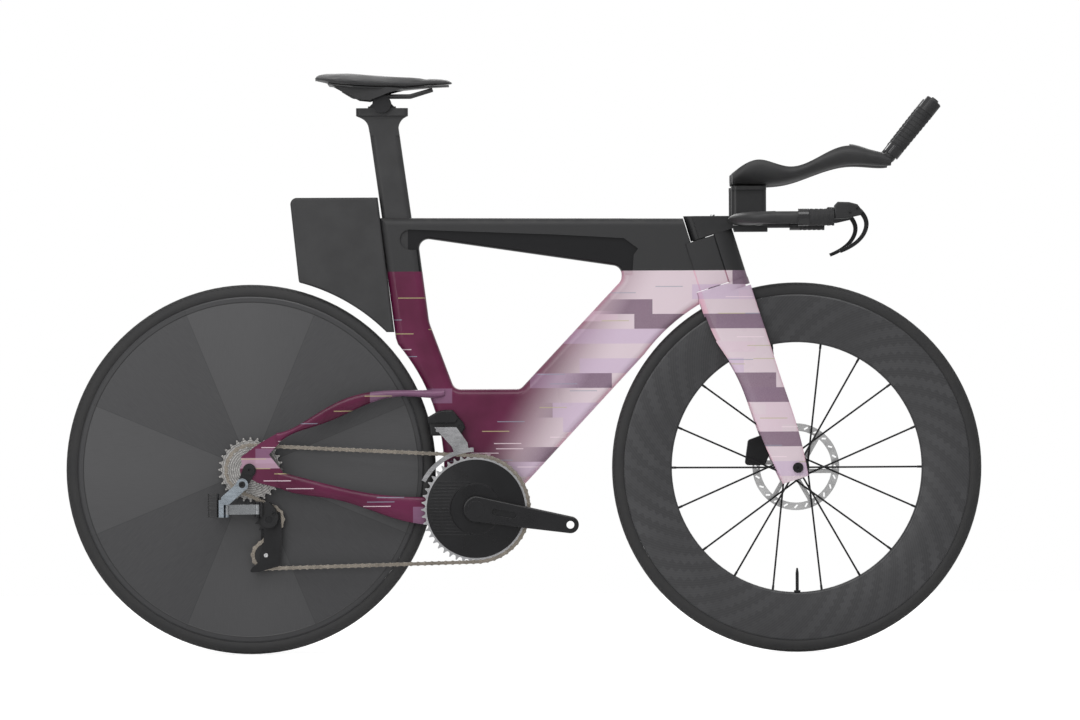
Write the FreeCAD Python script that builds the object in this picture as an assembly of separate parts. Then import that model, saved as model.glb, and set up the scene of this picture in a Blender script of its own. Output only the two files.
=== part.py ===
import FreeCAD, Part
import math
import os

V = FreeCAD.Vector
os.makedirs("parts", exist_ok=True)

# Time trial bike. Millimetres, X forward, Y to the rider's left, Z up.
# The origin lies on the ground midway between the two axles.

# Main sizes
wheel_radius = 339.0
wheel_spacing = 323.0
bb_clearance = 73.5
bb_drop = 73.0
top_rise = 118.0
head_angle = 72.5
fork_rake = 43.0
front_hub_width = 100.0
rear_hub_width = 142.0
frame_width = 44.0
axle_radius = 6.0

# Fits and cuts
fit = 0.06
gap = 0.3
run_gap = 1.2
overrun = 5.0
thin = 1.2

# Frame
frame_edge = 14.0
frame_corner = 17.0
frame_bend = 60.0
tyre_gap = 15.0
tyre_room_share = 0.62
frame_cut_shares = (0.6156, 0.8800)
front_tyre_gap = 9.0
head_nose = 36.0
head_half_width = 25.0
head_drop = 39.0
crown_rise = 332.0
crown_radius = 40.0
crown_drop = 46.0
stem_radius = 16.0
steerer_radius = 12.0
bearing_radius = 18.0
bearing_width = 7.0
bb_shell_radius = 25.0
bb_shell_width = 72.0
bb_cup_radius = 21.0
bb_cup_lip = 4.0
spindle_radius = 14.5
dropout_thick = 7.0
dropout_radius = 17.0
scoop_depth = 4.0
scoop_end_radius = 18.5
cover_thick = 1.6
cover_sink = 1.0
cover_width = 22.0
cover_end = 8.0
frame_shares = (
    (-0.5245, 1.004), (0.600, 1.000), (0.661, 0.961), (0.713, 0.858), (0.680, 0.800),
    (0.600, 0.741), (0.4927, 0.7214), (0.0202, 0.4008), (-0.120, 0.309), (-0.176, 0.300),
    (-0.335, 0.303), (-0.420, 0.400), (-0.420, 0.640), (-0.4675, 0.727))
hole_shares = (
    (-0.3855, 0.9585), (0.361, 0.8895), (0.361, 0.859), (-0.011, 0.6087), (-0.2535, 0.6087),
    (-0.345, 0.763))
scoop_shares = (
    (-0.414, 0.977), (0.134, 0.9635), (0.370, 0.955), (0.4215, 0.931), (0.4055, 0.917),
    (0.400, 0.870), (0.330, 0.870), (-0.360, 0.930), (-0.414, 0.930))
seat_cover_shares = (-0.372, -0.168)
port_cover_shares = (0.240, 0.382)
chain_stay_shares = (
    (-0.270, 0.328, 0.050, 0.064, 0.017), (-0.375, 0.330, 0.062, 0.062, 0.015),
    (-0.480, 0.339, 0.074, 0.050, 0.015), (-0.600, 0.358, 0.096, 0.034, 0.016),
    (-0.750, 0.381, 0.130, 0.034, 0.017), (-0.895, 0.404, 0.1485, 0.036, 0.013))
seat_stay_shares = (
    (-0.290, 0.600, 0.034, 0.018, 0.020), (-0.420, 0.600, 0.058, 0.0145, 0.018),
    (-0.520, 0.596, 0.073, 0.020, 0.017), (-0.600, 0.583, 0.088, 0.031, 0.016),
    (-0.770, 0.536, 0.125, 0.0245, 0.015), (-0.900, 0.497, 0.1485, 0.0275, 0.013))
dropout_shares = (
    (-1.031, 0.456), (-0.961, 0.4875), (-0.887, 0.514), (-0.893, 0.486), (-0.929, 0.461),
    (-0.879, 0.422), (-0.883, 0.383), (-0.971, 0.397), (-1.021, 0.4146))
dropout_corner = 3.0

# Storage box and lid
box_wall = 2.2
box_width = 42.0
box_corner = 12.0
box_edge = 4.0
lid_thick = 3.0
lid_pin_radius = 1.6
box_shares = (
    (-0.854, 1.051), (-0.5325, 1.051), (-0.4735, 0.741), (-0.520, 0.741), (-0.821, 0.855))
lid_shares = (-0.789, -0.597)

# Seat post, carriage and saddle
post_depth = 54.0
post_width = 20.0
post_tilt = 8.0
post_foot_share = -0.5045
post_show = 154.0
post_insert = 156.0
post_travel = 60.0
head_length = 95.0
flare_drop = 9.0
flare_radius = 24.0
head_thick = 14.0
head_width = 30.0
neck_length = 36.5
carriage_length = 51.0
carriage_wall = 6.0
clamp_radius = 17.0
clamp_rise = 21.5
clamp_length = 54.0
clamp_pin_radius = 4.0
rail_radius = 3.5
rail_spread = 22.0
rail_rise = 14.0
saddle_length = 254.0
saddle_ahead = 130.6
saddle_stack = 44.0
saddle_half_width = 68.0
saddle_base_thick = 3.0
channel_width = 14.0
channel_depth = 6.0
saddle_shares = (
    (1.000, 0.50, 0.830, 0.770, 0.612), (0.900, 0.90, 1.000, 0.709, 0.540),
    (0.720, 1.00, 0.952, 0.636, 0.418), (0.540, 0.84, 0.867, 0.588, 0.370),
    (0.350, 0.56, 0.806, 0.564, 0.346), (0.150, 0.39, 0.770, 0.612, 0.443),
    (0.030, 0.30, 0.685, 0.600, 0.467), (0.000, 0.16, 0.588, 0.551, 0.491))
skirt_shares = ((0.885, 0.491), (0.680, -0.139), (0.600, -0.187), (0.450, 0.152), (0.340, 0.310), (0.500, 0.370))
skirt_share = 0.66
saddle_tuck_share = 0.86
saddle_cheek_share = 0.965
channel_start_share = 0.84
channel_length_share = 0.66
channel_slope_share = 0.03
base_width_share = 0.84
slot_length_share = 0.7
slot_width_share = 0.24
rail_shares = ((0.800, 1.10, 0.440), (0.720, 1.00, 0), (0.310, 1.00, 0), (0.150, 0.55, 0.4355))

# Wheels
tyre_width = 28.0
tyre_wall = 2.6
tyre_seat_share = 11 / 14
rim_depth = 88.0
rim_width = 27.0
disc_hub_width = 34.0
seam_inset = 10.0
spoke_count = 18
spoke_width = 3.4
spoke_thick = 1.3
spoke_offset = 20.0
spoke_shares = ((1, 0.25), (0.5, 1), (-0.5, 1), (-1, 0.25), (-1, -0.25), (-0.5, -1), (0.5, -1), (1, -0.25))
nipple_radius = 2.2
nipple_length = 9.0
flange_radius = 22.0
flange_thick = 3.0
hub_radius = 14.0
hub_axle_radius = 8.5
end_cap_radius = 10.5
end_cap_width = 5.0
rotor_radius = 80.0
rotor_band = 14.0
rotor_thick = 1.8
rotor_arm = 8.0
rotor_seat_radius = 17.0
rotor_lock_radius = 20.0
rotor_carrier = 8.0
rotor_from_face = 10.0
rotor_slots = 24
slot_length = 8.0
slot_width = 3.0
valve_radius = 3.0
valve_length = 44.0

# Fork and stem
blade_front = 64.0
blade_thick = 13.5
bayonet_step = 0.8
bayonet_half_width = 24.0
crown_half_width = 31.0
tyre_slot = 39.0
fork_tip_radius = 11.0
stem_rise = 4.0
steerer_rise = 26.0
stem_width = 44.0
stem_reach = 66.0
stem_tongue = 125.0
tongue_thick = 11.0
tongue_rise = 14.0
leg_shares = (
    (0.976, -0.47, 1.000, 0.44), (0.894, -0.53, 1.000, 0.505), (0.805, -0.27, 1.005, 0.637),
    (0.727, -0.117, 1.000, 0.761), (0.629, -0.073, 1.020, 0.894), (0.522, 0.030, 0.970, 1.000),
    (0.4575, 0.125, 0.890, 1.005))

# Brakes
caliper_width = 27.0
caliper_slot = 7.0
caliper_corner = 6.0
pad_thick = 3.0
pad_gap = 0.4
pad_length = 26.0
pad_height = 13.0

# Chain, sprockets and cranks
chain_pitch = 12.7
roller_radius = 3.88
roller_gap = 0.22
tooth_rise = 3.0
tooth_tip = 1.7
sprocket_thick = 1.6
ring_teeth = 48
inner_ring_teeth = 35
driven_teeth = 22
pulley_teeth = 12
cassette_teeth = (11, 12, 13, 14, 15, 16, 17, 18, 20, 22, 25, 28)
cassette_pitch = 3.65
cassette_start_share = 1.8
freehub_radius = 16.0
lock_ring_thick = 2.4
ring_level = 44.0
ring_spacing = 7.0
ring_band = 15.0
ring_posts = 4
ring_post_radius = 5.0
inner_half_gap = 1.0
plate_thick = 0.5
plate_half_height = 4.0
plate_waist = 2.9
plate_gap = 0.48
pin_head = 0.12
pin_radius = 1.8
crank_length = 175.0
crank_angle = -9.7
crank_hub_radius = 24.0
crank_tip_radius = 15.5
crank_inner = 58.0
crank_thick = 14.0
crank_edge = 4.0
pedal_hole_radius = 7.14
crank_cap_radius = 15.0
window_share = 0.20
window_length = 34.0
window_width = 12.0
window_depth = 5.0
cover_radius = 90.0
ring_cover_thick = 5.0
ring_cover_rise = 2.4
ring_cover_boss = 45.0
rib_count = 17
rib_pitch = 6.0
rib_width = 2.4
rib_rise = 0.9
rib_inset = 4.0

# Rear derailleur
guide_ahead = 34.5
guide_drop = 91.0
cage_reach = 66.0
cage_half_gap = 4.9
cage_thick = 1.6
cage_guide_radius = 15.0
cage_tip_radius = 11.0
cage_shares = (
    (-0.241, 0.281), (0.300, 0.370), (0.691, 0.404), (1.253, 0.414), (1.476, -0.142), (1.519, -0.427),
    (1.375, -0.350), (1.171, -0.150), (0.992, -0.190), (0.665, -0.100), (0.211, -0.131), (-0.100, -0.223))
cage_corner = 3.0
cage_window_share = 0.6
pulley_bore = 4.0
hanger_behind = 12.5
hanger_drop = 26.0
hanger_thick = 5.0
hanger_radius = 9.0
hanger_root_share = 0.7
knuckle_radius = 11.0
link_drop = 81.0
link_height = 18.0
link_thick = 4.5
link_pin_radius = 2.2
link_eye = 4.6
link_behind = 41.5
link_out = 13.0
link_ahead = 13.5
link_in = 5.0
link_spacing = 13.0
lower_knuckle_radius = 15.5
lower_knuckle_length = 17.0
lower_shell_shares = (
    (-0.90, 0.30), (-0.80, 1.90), (-0.40, 2.15), (0.10, 2.05), (0.75, 1.30), (1.15, 0.40), (1.00, -0.30),
    (-0.60, -0.40))
lower_shell_edge = 2.0
knuckle_depth_share = 1.4
battery_length = 20.0
battery_height = 43.0
battery_width = 24.0

# Front derailleur
shifter_shares = (
    (-0.355, 0.5435), (-0.313, 0.559), (-0.290, 0.5615), (-0.260, 0.5615), (-0.221, 0.5325),
    (-0.213, 0.521), (-0.231, 0.503), (-0.342, 0.502), (-0.345, 0.521))
shifter_battery_shares = (
    (-0.350, 0.531), (-0.353, 0.5435), (-0.313, 0.5575), (-0.290, 0.5600), (-0.262, 0.5600), (-0.238, 0.543),
    (-0.250, 0.531))
shifter_battery_rise = 4.0
shifter_depth = 20.0
shifter_edge = 4.0
guide_inner = 104.0
guide_outer = 112.0
guide_start = 92.0
guide_end = 152.0
guide_thick = 1.3
guide_half_gap = 5.0
guide_travel = 7.0
slide_spread_share = 1.6
guide_tab = 10.0
guide_tab_start = 97.0
guide_tab_end = 111.0
slide_pin_radius = 3.0

# Bars, arms, levers and shifters
bar_step = 0.6
elbow_shares = (0.2, 0.72, 0.32, 0.8)
bar_radius = 11.0
bar_rise = 36.0
bar_chord = 74.0
bar_ahead = 99.73
bar_half_width = 205.0
bar_bend = 55.0
bar_reach = 150.0
bar_grip = 65.0
bar_ring_length = 19.0
tape_thick = 4.5
tape_turn = 9.0
tape_step = 0.7
riser_spread = 70.0
riser_length = 64.0
riser_width = 30.0
riser_rise = 60.0
riser_plate = 7.0
riser_corner = 10.0
arm_behind = 30.0
arm_length = 290.0
arm_rise = 76.0
arm_half_width = 46.0
stick_length = 121.0
stick_angle = 51.0
stick_radius = 10.0
stick_share = 0.737
stick_ring = 17.0
shifter_cap_length = 20.0
shifter_cap_radius = 15.5
button_radius = 7.5
button_rise = 3.0
button_travel = 1.5
lever_ahead = 41.0
lever_rise = 15.0
lever_pin_radius = 2.5
lever_body_width = 24.0
lever_width = 11.0
lever_thick = 9.0
arm_shares = (
    (0.000, 0.040, 0.360, 0.80), (0.070, 0.020, 0.690, 0.97), (0.200, 0.010, 0.820, 1.00),
    (0.360, 0.070, 0.560, 0.88), (0.540, 0.300, 0.770, 0.66), (0.750, 0.500, 1.000, 0.52),
    (0.890, 0.480, 0.850, 0.42), (1.000, 0.480, 0.680, 0.30))
trough_shares = (
    (-0.020, 0.240, 0.900, 0.84), (0.200, 0.130, 1.000, 0.88), (0.360, 0.190, 1.000, 0.76),
    (0.540, 0.400, 1.100, 0.52), (0.740, 0.780, 1.300, 0.30))
lever_body_shares = (
    (0.00, 0.06), (0.00, 0.80), (0.12, 1.00), (0.52, 0.98), (0.80, 0.86), (1.00, 0.46), (0.90, 0.26), (0.45, 0.10))
lever_body_length = 52.0
lever_body_height = 33.0
slot_start_share = 1.6
lever_taper_share = 0.06
lever_blade_shares = (
    (0.00, 0.00), (0.13, -0.12), (0.22, -0.33), (0.15, -0.60), (-0.10, -0.85), (-0.40, -1.00))
lever_drop = 77.0
axle_cap_radius = 9.5
axle_cap_thick = 3.0
caliper_front_shares = ((-1.18, 0.04), (-1.10, 0.62), (-0.72, 0.76), (-0.60, 0.30), (-0.72, 0.04))
caliper_rear_shares = ((0.70, -0.10), (0.66, 0.36), (0.82, 0.62), (1.16, 0.52), (1.20, 0.02))
pad_front_angle = 155.0
pad_rear_angle = 16.0

# Places worked out from the sizes above
half_base = wheel_radius + wheel_spacing / 2
frame_height = wheel_radius * 2 + top_rise
rim_radius = wheel_radius - tyre_width * tyre_seat_share
rim_inner = rim_radius - rim_depth
disc_seam = rim_radius - seam_inset
bar_wing_half = bar_half_width - bar_bend
head_top_height = frame_height - head_drop
crown_height = wheel_radius + crown_rise
rear_axle = V(-half_base, 0, wheel_radius)
front_axle = V(half_base, 0, wheel_radius)
crank_axis = rear_axle + V(wheel_radius + bb_clearance, 0, -bb_drop)
across = V(0, 1, 0)
steer_up = V(-math.cos(math.radians(head_angle)), 0, math.sin(math.radians(head_angle)))
steer_fore = V(math.sin(math.radians(head_angle)), 0, math.cos(math.radians(head_angle)))
steer_foot = front_axle - steer_fore * fork_rake
post_up = V(-math.sin(math.radians(post_tilt)), 0, math.cos(math.radians(post_tilt)))
post_height = frame_height + post_show
post_bottom = frame_height - post_insert
head_height = post_height + neck_length
clamp_height = head_height + clamp_rise
rail_height = clamp_height + rail_rise
saddle_height = rail_height + saddle_stack
post_mark = V(post_foot_share * half_base, 0, post_height)


def steer_at(height):
    return steer_foot + steer_up * ((height - steer_foot.z) / steer_up.z)


bar_height = head_top_height + bar_rise
tongue_height = head_top_height + tongue_rise
bar_centre_x = steer_at(bar_height).x + bar_ahead
bar_tip_x = bar_centre_x + bar_reach
bar_ring_x = bar_tip_x - bar_grip
riser_top = bar_height + riser_rise
arm_start_x = bar_centre_x - arm_behind
lever_pivot = V(bar_tip_x + lever_ahead, 0, bar_height + lever_rise)
hanger_bolt = rear_axle - V(hanger_behind, 0, hanger_drop)
guide_centre = rear_axle + V(guide_ahead, 0, -guide_drop)
link_low = wheel_radius - link_drop
link_high = link_low + link_height
outer_start = V(rear_axle.x - link_behind, -rear_hub_width / 2 - link_out, 0)
outer_end = V(rear_axle.x + link_ahead, -rear_hub_width / 2 + link_in, 0)


def post_at(height):
    return post_mark + post_up * ((height - post_height) / post_up.z)


saddle_nose = post_at(head_height).x + saddle_ahead


# Drawing helpers
def outline(shares, length, height):
    return [V(share[0] * length, 0, share[1] * height) for share in shares]


def rounded_wire(points, radius):
    radii = radius if isinstance(radius, (list, tuple)) else [radius] * len(points)
    starts = []
    ends = []
    mids = []
    for index, corner in enumerate(points):
        before = (points[index - 1] - corner).normalize()
        after = (points[(index + 1) % len(points)] - corner).normalize()
        half = before.getAngle(after) / 2
        reach = radii[index] / math.tan(half)
        inward = (before + after).normalize()
        starts.append(corner + before * reach)
        ends.append(corner + after * reach)
        mids.append(corner + inward * (radii[index] / math.sin(half) - radii[index]))
    edges = []
    for index in range(len(points)):
        if (starts[index] - ends[index - 1]).Length > fit:
            edges.append(Part.makeLine(ends[index - 1], starts[index]))
        if radii[index] > 0:
            edges.append(Part.Arc(starts[index], mids[index], ends[index]).toShape())
    return Part.Wire(Part.__sortEdges__(edges))


def rounded_face(points, radius):
    return Part.Face(rounded_wire(points, radius))


def polygon_face(points):
    return Part.Face(Part.makePolygon(points + points[:1]))


def slab(face, y_low, y_high):
    solid = face.extrude(across * (y_high - y_low))
    solid.translate(across * y_low)
    return solid


def rod(start, end, radius):
    return Part.makeCylinder(radius, (end - start).Length, start, end - start)


def drum(centre, radius, y_low, y_high):
    return Part.makeCylinder(radius, y_high - y_low, V(centre.x, y_low, centre.z), across)


def ring(centre, outer, inner, y_low, y_high):
    return drum(centre, outer, y_low, y_high).cut(drum(centre, inner, y_low - overrun, y_high + overrun))


def turned(profile, centre):
    points = [V(centre.x + radius, y, centre.z) for radius, y in profile]
    return polygon_face(points).revolve(centre, across, 360)


def fuse(shapes):
    joined = shapes[0]
    for shape in shapes[1:]:
        joined = joined.fuse(shape)
    return joined.removeSplitter()


def flip(shape):
    return shape.mirror(V(0, 0, 0), across)


def oval(centre, along, side, half_length, half_width):
    if half_length > half_width:
        curve = Part.Ellipse(centre + along * half_length, centre + side * half_width, centre)
    else:
        curve = Part.Ellipse(centre + side * half_width, centre + along * half_length, centre)
    return Part.Wire([curve.toShape()])


def flat_edges(solid, level):
    return [edge for edge in solid.Edges
            if all(abs(abs(vertex.Y) - level) < fit for vertex in edge.Vertexes)
            and abs(abs(edge.CenterOfMass.y) - level) < fit]


def soften(solid, level, radius):
    return solid.makeFillet(radius, flat_edges(solid, level))


def bent_path(points, radius):
    edges = []
    last = points[0]
    for index in range(1, len(points) - 1):
        corner = points[index]
        before = (points[index - 1] - corner).normalize()
        after = (points[index + 1] - corner).normalize()
        half = before.getAngle(after) / 2
        reach = radius / math.tan(half)
        inward = (before + after).normalize()
        start = corner + before * reach
        end = corner + after * reach
        middle = corner + inward * (radius / math.sin(half) - radius)
        edges.append(Part.makeLine(last, start))
        edges.append(Part.Arc(start, middle, end).toShape())
        last = end
    edges.append(Part.makeLine(last, points[-1]))
    return Part.Wire(edges)


def tube_along(path, radius):
    start = path.Edges[0].valueAt(path.Edges[0].FirstParameter)
    heading = path.Edges[0].tangentAt(path.Edges[0].FirstParameter)
    section = Part.Wire([Part.makeCircle(radius, start, heading)])
    return path.makePipeShell([section], True, False)


# Frame with stays and dropouts
def post_section(centre, growth):
    along = across.cross(post_up)
    half_run = (post_depth - post_width) / 2
    half_width = post_width / 2 + growth
    front = centre + along * half_run
    back = centre - along * half_run
    edges = [Part.makeLine(back + across * half_width, front + across * half_width),
             Part.Arc(front + across * half_width, front + along * half_width,
                      front - across * half_width).toShape(),
             Part.makeLine(front - across * half_width, back - across * half_width),
             Part.Arc(back - across * half_width, back - along * half_width,
                      back + across * half_width).toShape()]
    return Part.Wire(edges)


def post_blade(low, high, growth):
    start = post_at(low)
    return Part.Face(post_section(start, growth)).extrude(post_at(high) - start)


def stay(shares):
    sections = []
    for x_share, z_share, y_share, tall_share, wide_share in shares:
        centre = V(x_share * half_base, y_share * half_base, z_share * frame_height)
        sections.append(oval(centre, V(0, 0, 1), across, tall_share * frame_height / 2 + fit,
                             wide_share * half_base))
    return Part.makeLoft(sections, True, False)


def head_block(low, high, back, front, half_width):
    start = steer_at(low) + steer_fore * back
    face = polygon_face([start - across * half_width, start + across * half_width,
                         start + across * half_width + steer_fore * (front - back),
                         start - across * half_width + steer_fore * (front - back)])
    return face.extrude(steer_at(high) - steer_at(low))


def make_frame():
    half = frame_width / 2
    side = polygon_face(outline(frame_shares, half_base, frame_height))
    hole_points = outline(hole_shares, half_base, frame_height)
    corners = [frame_corner] * (len(hole_points) - 1) + [frame_bend]
    side = side.cut(rounded_face(hole_points, corners))
    for centre, radius in ((rear_axle, wheel_radius + tyre_gap), (front_axle, wheel_radius + front_tyre_gap)):
        side = side.cut(Part.Face(Part.Wire([Part.makeCircle(radius, centre, across)])))
    body = soften(slab(side, -half, half), half, frame_edge)

    scoop = polygon_face(outline(scoop_shares, half_base, frame_height))
    scoop_end = V(scoop_shares[0][0] * half_base, 0, scoop_shares[0][1] * frame_height - scoop_end_radius)
    floor_level = half - scoop_depth
    for low, high in ((floor_level, half + overrun), (-half - overrun, -floor_level)):
        body = body.cut(slab(scoop, low, high)).cut(drum(scoop_end, scoop_end_radius, low, high))

    head_foot = steer_at(crown_height)
    head_top = steer_at(head_top_height)
    nose = rod(head_foot, head_top, head_nose)
    body = body.fuse(nose.common(head_block(crown_height, head_top_height, -head_nose, head_nose,
                                            head_half_width)))
    body = body.cut(rod(head_foot, steer_at(crown_height - crown_drop), crown_radius + run_gap))
    body = body.cut(head_block(head_top_height, frame_height + overrun, -stem_radius - run_gap,
                               head_nose + overrun, half + overrun))
    body = body.cut(rod(head_foot, head_top, steerer_radius + run_gap))
    for start, heading in ((head_foot, steer_up), (head_top, steer_up * -1)):
        body = body.cut(rod(start - heading * overrun, start + heading * bearing_width, bearing_radius + fit))

    shell_half = bb_shell_width / 2
    stays = [stay(chain_stay_shares), stay(seat_stay_shares)]
    face_level = rear_hub_width / 2
    plate = rounded_face(outline(dropout_shares, half_base, frame_height), dropout_corner)
    stays.append(slab(plate, face_level, face_level + dropout_thick))
    stays.append(drum(rear_axle, dropout_radius, face_level, face_level + dropout_thick))
    body = body.fuse(drum(crank_axis, bb_shell_radius, -shell_half, shell_half))
    for piece in stays:
        body = body.fuse(piece).fuse(flip(piece))
    body = body.cut(drum(crank_axis, bb_cup_radius + fit, -shell_half - overrun, shell_half + overrun))
    ring_reach = pitch_radius(inner_ring_teeth) + tooth_rise + run_gap
    body = body.cut(ring(crank_axis, ring_reach, bb_shell_radius + overrun, -ring_level - overrun,
                         -ring_level + ring_spacing + sprocket_thick / 2 + run_gap))
    body = body.cut(drum(rear_axle, axle_radius + fit, -rear_hub_width, rear_hub_width))
    tyre_room = tyre_width * tyre_room_share
    body = body.cut(drum(rear_axle, wheel_radius + tyre_gap / 2, -tyre_room, tyre_room))
    body = body.cut(post_blade(post_bottom - post_travel - gap, frame_height + overrun * 2, gap))
    for shares in (seat_cover_shares, port_cover_shares):
        body = body.cut(top_cover(shares, gap / 2))
    return frame_sections(body.removeSplitter())


# The moulding in touching sections, so that its collision pieces leave the main triangle open
def frame_sections(body):
    levels = [0] + [share * frame_height for share in frame_cut_shares] + [frame_height * 2]
    sections = []
    for low, high in zip(levels, levels[1:]):
        block = Part.makeBox(half_base * 4, half_base * 2, high - low, V(-half_base * 2, -half_base, low))
        sections += body.common(block).Solids
    return Part.makeCompound(sections)


def top_cover(shares, growth):
    low = shares[0] * half_base - growth
    high = shares[1] * half_base + growth
    half_width = cover_width / 2 + growth
    points = [V(low, -half_width, 0), V(high, -half_width, 0), V(high, half_width, 0), V(low, half_width, 0)]
    plate = rounded_face(points, cover_end).extrude(V(0, 0, cover_thick))
    plate.translate(V(0, 0, frame_height - cover_sink))
    return plate


def make_headset_bearings():
    rings = []
    for start, heading in ((steer_at(crown_height), steer_up), (steer_at(head_top_height), steer_up * -1)):
        outer = rod(start, start + heading * bearing_width, bearing_radius)
        rings.append(outer.cut(rod(start - heading * overrun, start + heading * (bearing_width + overrun),
                                   steerer_radius + fit)))
    return Part.makeCompound(rings)


def make_bottom_bracket_cups():
    half = bb_shell_width / 2
    cups = []
    for side in (-1, 1):
        low, high = sorted((side * half / 2, side * half))
        sleeve = drum(crank_axis, bb_cup_radius, low, high)
        low, high = sorted((side * (half + gap / 4), side * (half + bb_cup_lip)))
        lip = drum(crank_axis, bb_shell_radius, low, high)
        low, high = sorted((side * half / 2, side * (half + bb_cup_lip)))
        cup = sleeve.fuse(drum(crank_axis, bb_cup_radius, low, high)).fuse(lip)
        cups.append(cup.cut(drum(crank_axis, spindle_radius + fit, low - overrun, high + overrun)))
    return Part.makeCompound(cups)


# Fork with its outer steerer, stem
def steer_oval(height, back, front, half_width):
    centre = steer_at(height) + steer_fore * ((front + back) / 2)
    return oval(centre, steer_fore, across, (front - back) / 2, half_width)


def steer_column(low, high, back, front, half_width):
    return Part.Face(steer_oval(low, back, front, half_width)).extrude(steer_at(high) - steer_at(low))


def fork_leg():
    level = front_hub_width / 2 + blade_thick / 2
    sections = []
    for height_share, back_share, front_share, spread_share in leg_shares:
        wire = steer_oval(height_share * crown_height, back_share * blade_front, front_share * blade_front,
                          blade_thick / 2)
        wire.translate(across * (spread_share * level))
        sections.append(wire)
    return Part.makeLoft(sections, True, False)


def make_fork():
    crown_top = crown_height - run_gap
    crown_low = crown_height - crown_drop
    crown = rod(steer_at(crown_low), steer_at(crown_top), crown_radius)
    crown = crown.common(head_block(crown_low, crown_top, -crown_radius, crown_radius, crown_half_width))
    crown = crown.fuse(steer_column(crown_low, crown_top, -crown_radius / 2, blade_front, crown_half_width))
    bayonet = steer_column(crown_low, head_top_height + run_gap, 0, blade_front - bayonet_step,
                           bayonet_half_width)
    bayonet = bayonet.cut(rod(steer_at(crown_top), steer_at(head_top_height + overrun), head_nose + run_gap))
    steerer = rod(steer_at(crown_low), steer_at(head_top_height + steerer_rise), steerer_radius)
    body = crown.fuse(bayonet).fuse(steerer)
    body = body.cut(drum(front_axle, wheel_radius + front_tyre_gap, -tyre_slot / 2, tyre_slot / 2))
    leg = fork_leg()
    face_level = front_hub_width / 2
    tip = drum(front_axle, fork_tip_radius, face_level, face_level + blade_thick)
    for piece in (leg, tip):
        body = body.fuse(piece).fuse(flip(piece))
    low_end = crown_low - crown_drop
    sweep = head_block(low_end, crown_top, -crown_radius * 2, 0, crown_radius * 2)
    body = body.cut(sweep.cut(rod(steer_at(low_end - crown_radius), steer_at(crown_top + crown_radius), crown_radius)))
    hub_space = drum(front_axle, end_cap_radius * 2, -face_level, face_level)
    body = body.cut(hub_space)
    body = body.cut(drum(front_axle, axle_radius + fit, -front_hub_width, front_hub_width))
    return body.removeSplitter()


def make_stem():
    top = frame_height + stem_rise
    foot = steer_at(head_top_height + run_gap)
    back = foot - steer_fore * stem_radius
    front = foot + steer_fore * blade_front
    points = [back, front, V(front.x, 0, top), V(steer_at(top).x - stem_radius, 0, top)]
    half = stem_width / 2
    block = slab(polygon_face(points), -half, half)
    rounds = rod(foot - steer_up * overrun, steer_at(top + overrun), stem_radius)
    block = block.common(rounds.fuse(head_block(head_top_height - overrun, top + half, 0, stem_tongue,
                                                half + overrun)))
    tongue = Part.makeBox(stem_tongue - stem_radius, stem_width, tongue_thick,
                          V(foot.x + stem_radius, -half, tongue_height))
    low_cut = head_block(head_top_height - stem_width, head_top_height + run_gap, -stem_width,
                         blade_front + run_gap, stem_width)
    body = block.fuse(tongue.cut(low_cut))
    body = body.cut(rod(steer_at(head_top_height), steer_at(head_top_height + steerer_rise + fit),
                        steerer_radius + fit))
    return body.removeSplitter()


# Wheels
def make_tyre(axle):
    section_radius = tyre_width / 2
    centre = wheel_radius - section_radius
    seat = rim_radius + fit
    drop = centre - seat
    inner_radius = section_radius - tyre_wall
    outer_y = math.sqrt(section_radius ** 2 - drop ** 2)
    inner_y = math.sqrt(inner_radius ** 2 - drop ** 2)

    def at(radius, y):
        return V(axle.x + radius, y, axle.z)

    edges = [Part.Arc(at(seat, -outer_y), at(wheel_radius, 0), at(seat, outer_y)).toShape(),
             Part.makeLine(at(seat, outer_y), at(seat, inner_y)),
             Part.Arc(at(seat, inner_y), at(centre + inner_radius, 0), at(seat, -inner_y)).toShape(),
             Part.makeLine(at(seat, -inner_y), at(seat, -outer_y))]
    return Part.Face(Part.Wire(edges)).revolve(axle, across, 360)


def rim_edges(axle, nose, nose_half):
    half = rim_width / 2
    shoulder = rim_radius - tyre_wall
    middle = (shoulder + nose) / 2

    def at(radius, y):
        return V(axle.x + radius, y, axle.z)

    near = nose + nose_half
    return [Part.makeLine(at(rim_radius, half - tyre_wall / 2), at(rim_radius, tyre_wall / 2 - half)),
            Part.makeLine(at(rim_radius, tyre_wall / 2 - half), at(shoulder, -half)),
            Part.Arc(at(shoulder, -half), at(middle, -half), at(near, -nose_half)).toShape(),
            Part.Arc(at(near, -nose_half), at(nose, 0), at(near, nose_half)).toShape(),
            Part.Arc(at(near, nose_half), at(middle, half), at(shoulder, half)).toShape(),
            Part.makeLine(at(shoulder, half), at(rim_radius, half - tyre_wall / 2))]


def make_front_rim():
    face = Part.Face(Part.Wire(rim_edges(front_axle, rim_inner, rim_width / 4)))
    valve_hole = rod(front_axle, front_axle - V(0, 0, rim_radius + overrun), valve_radius + fit)
    return face.revolve(front_axle, across, 360).cut(valve_hole)


def make_front_valve():
    top = front_axle - V(0, 0, rim_inner - valve_length)
    foot = front_axle - V(0, 0, rim_radius - fit)
    neck = top - V(0, 0, valve_radius * 3)
    tip = Part.makeCone(valve_radius, valve_radius / 2, (neck - top).Length, neck, V(0, 0, 1))
    nut = rod(front_axle - V(0, 0, rim_inner - fit), front_axle - V(0, 0, rim_inner - valve_radius),
              valve_radius * 2)
    return rod(foot, neck, valve_radius).fuse(tip).fuse(nut).cut(make_front_rim()).removeSplitter()


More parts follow.
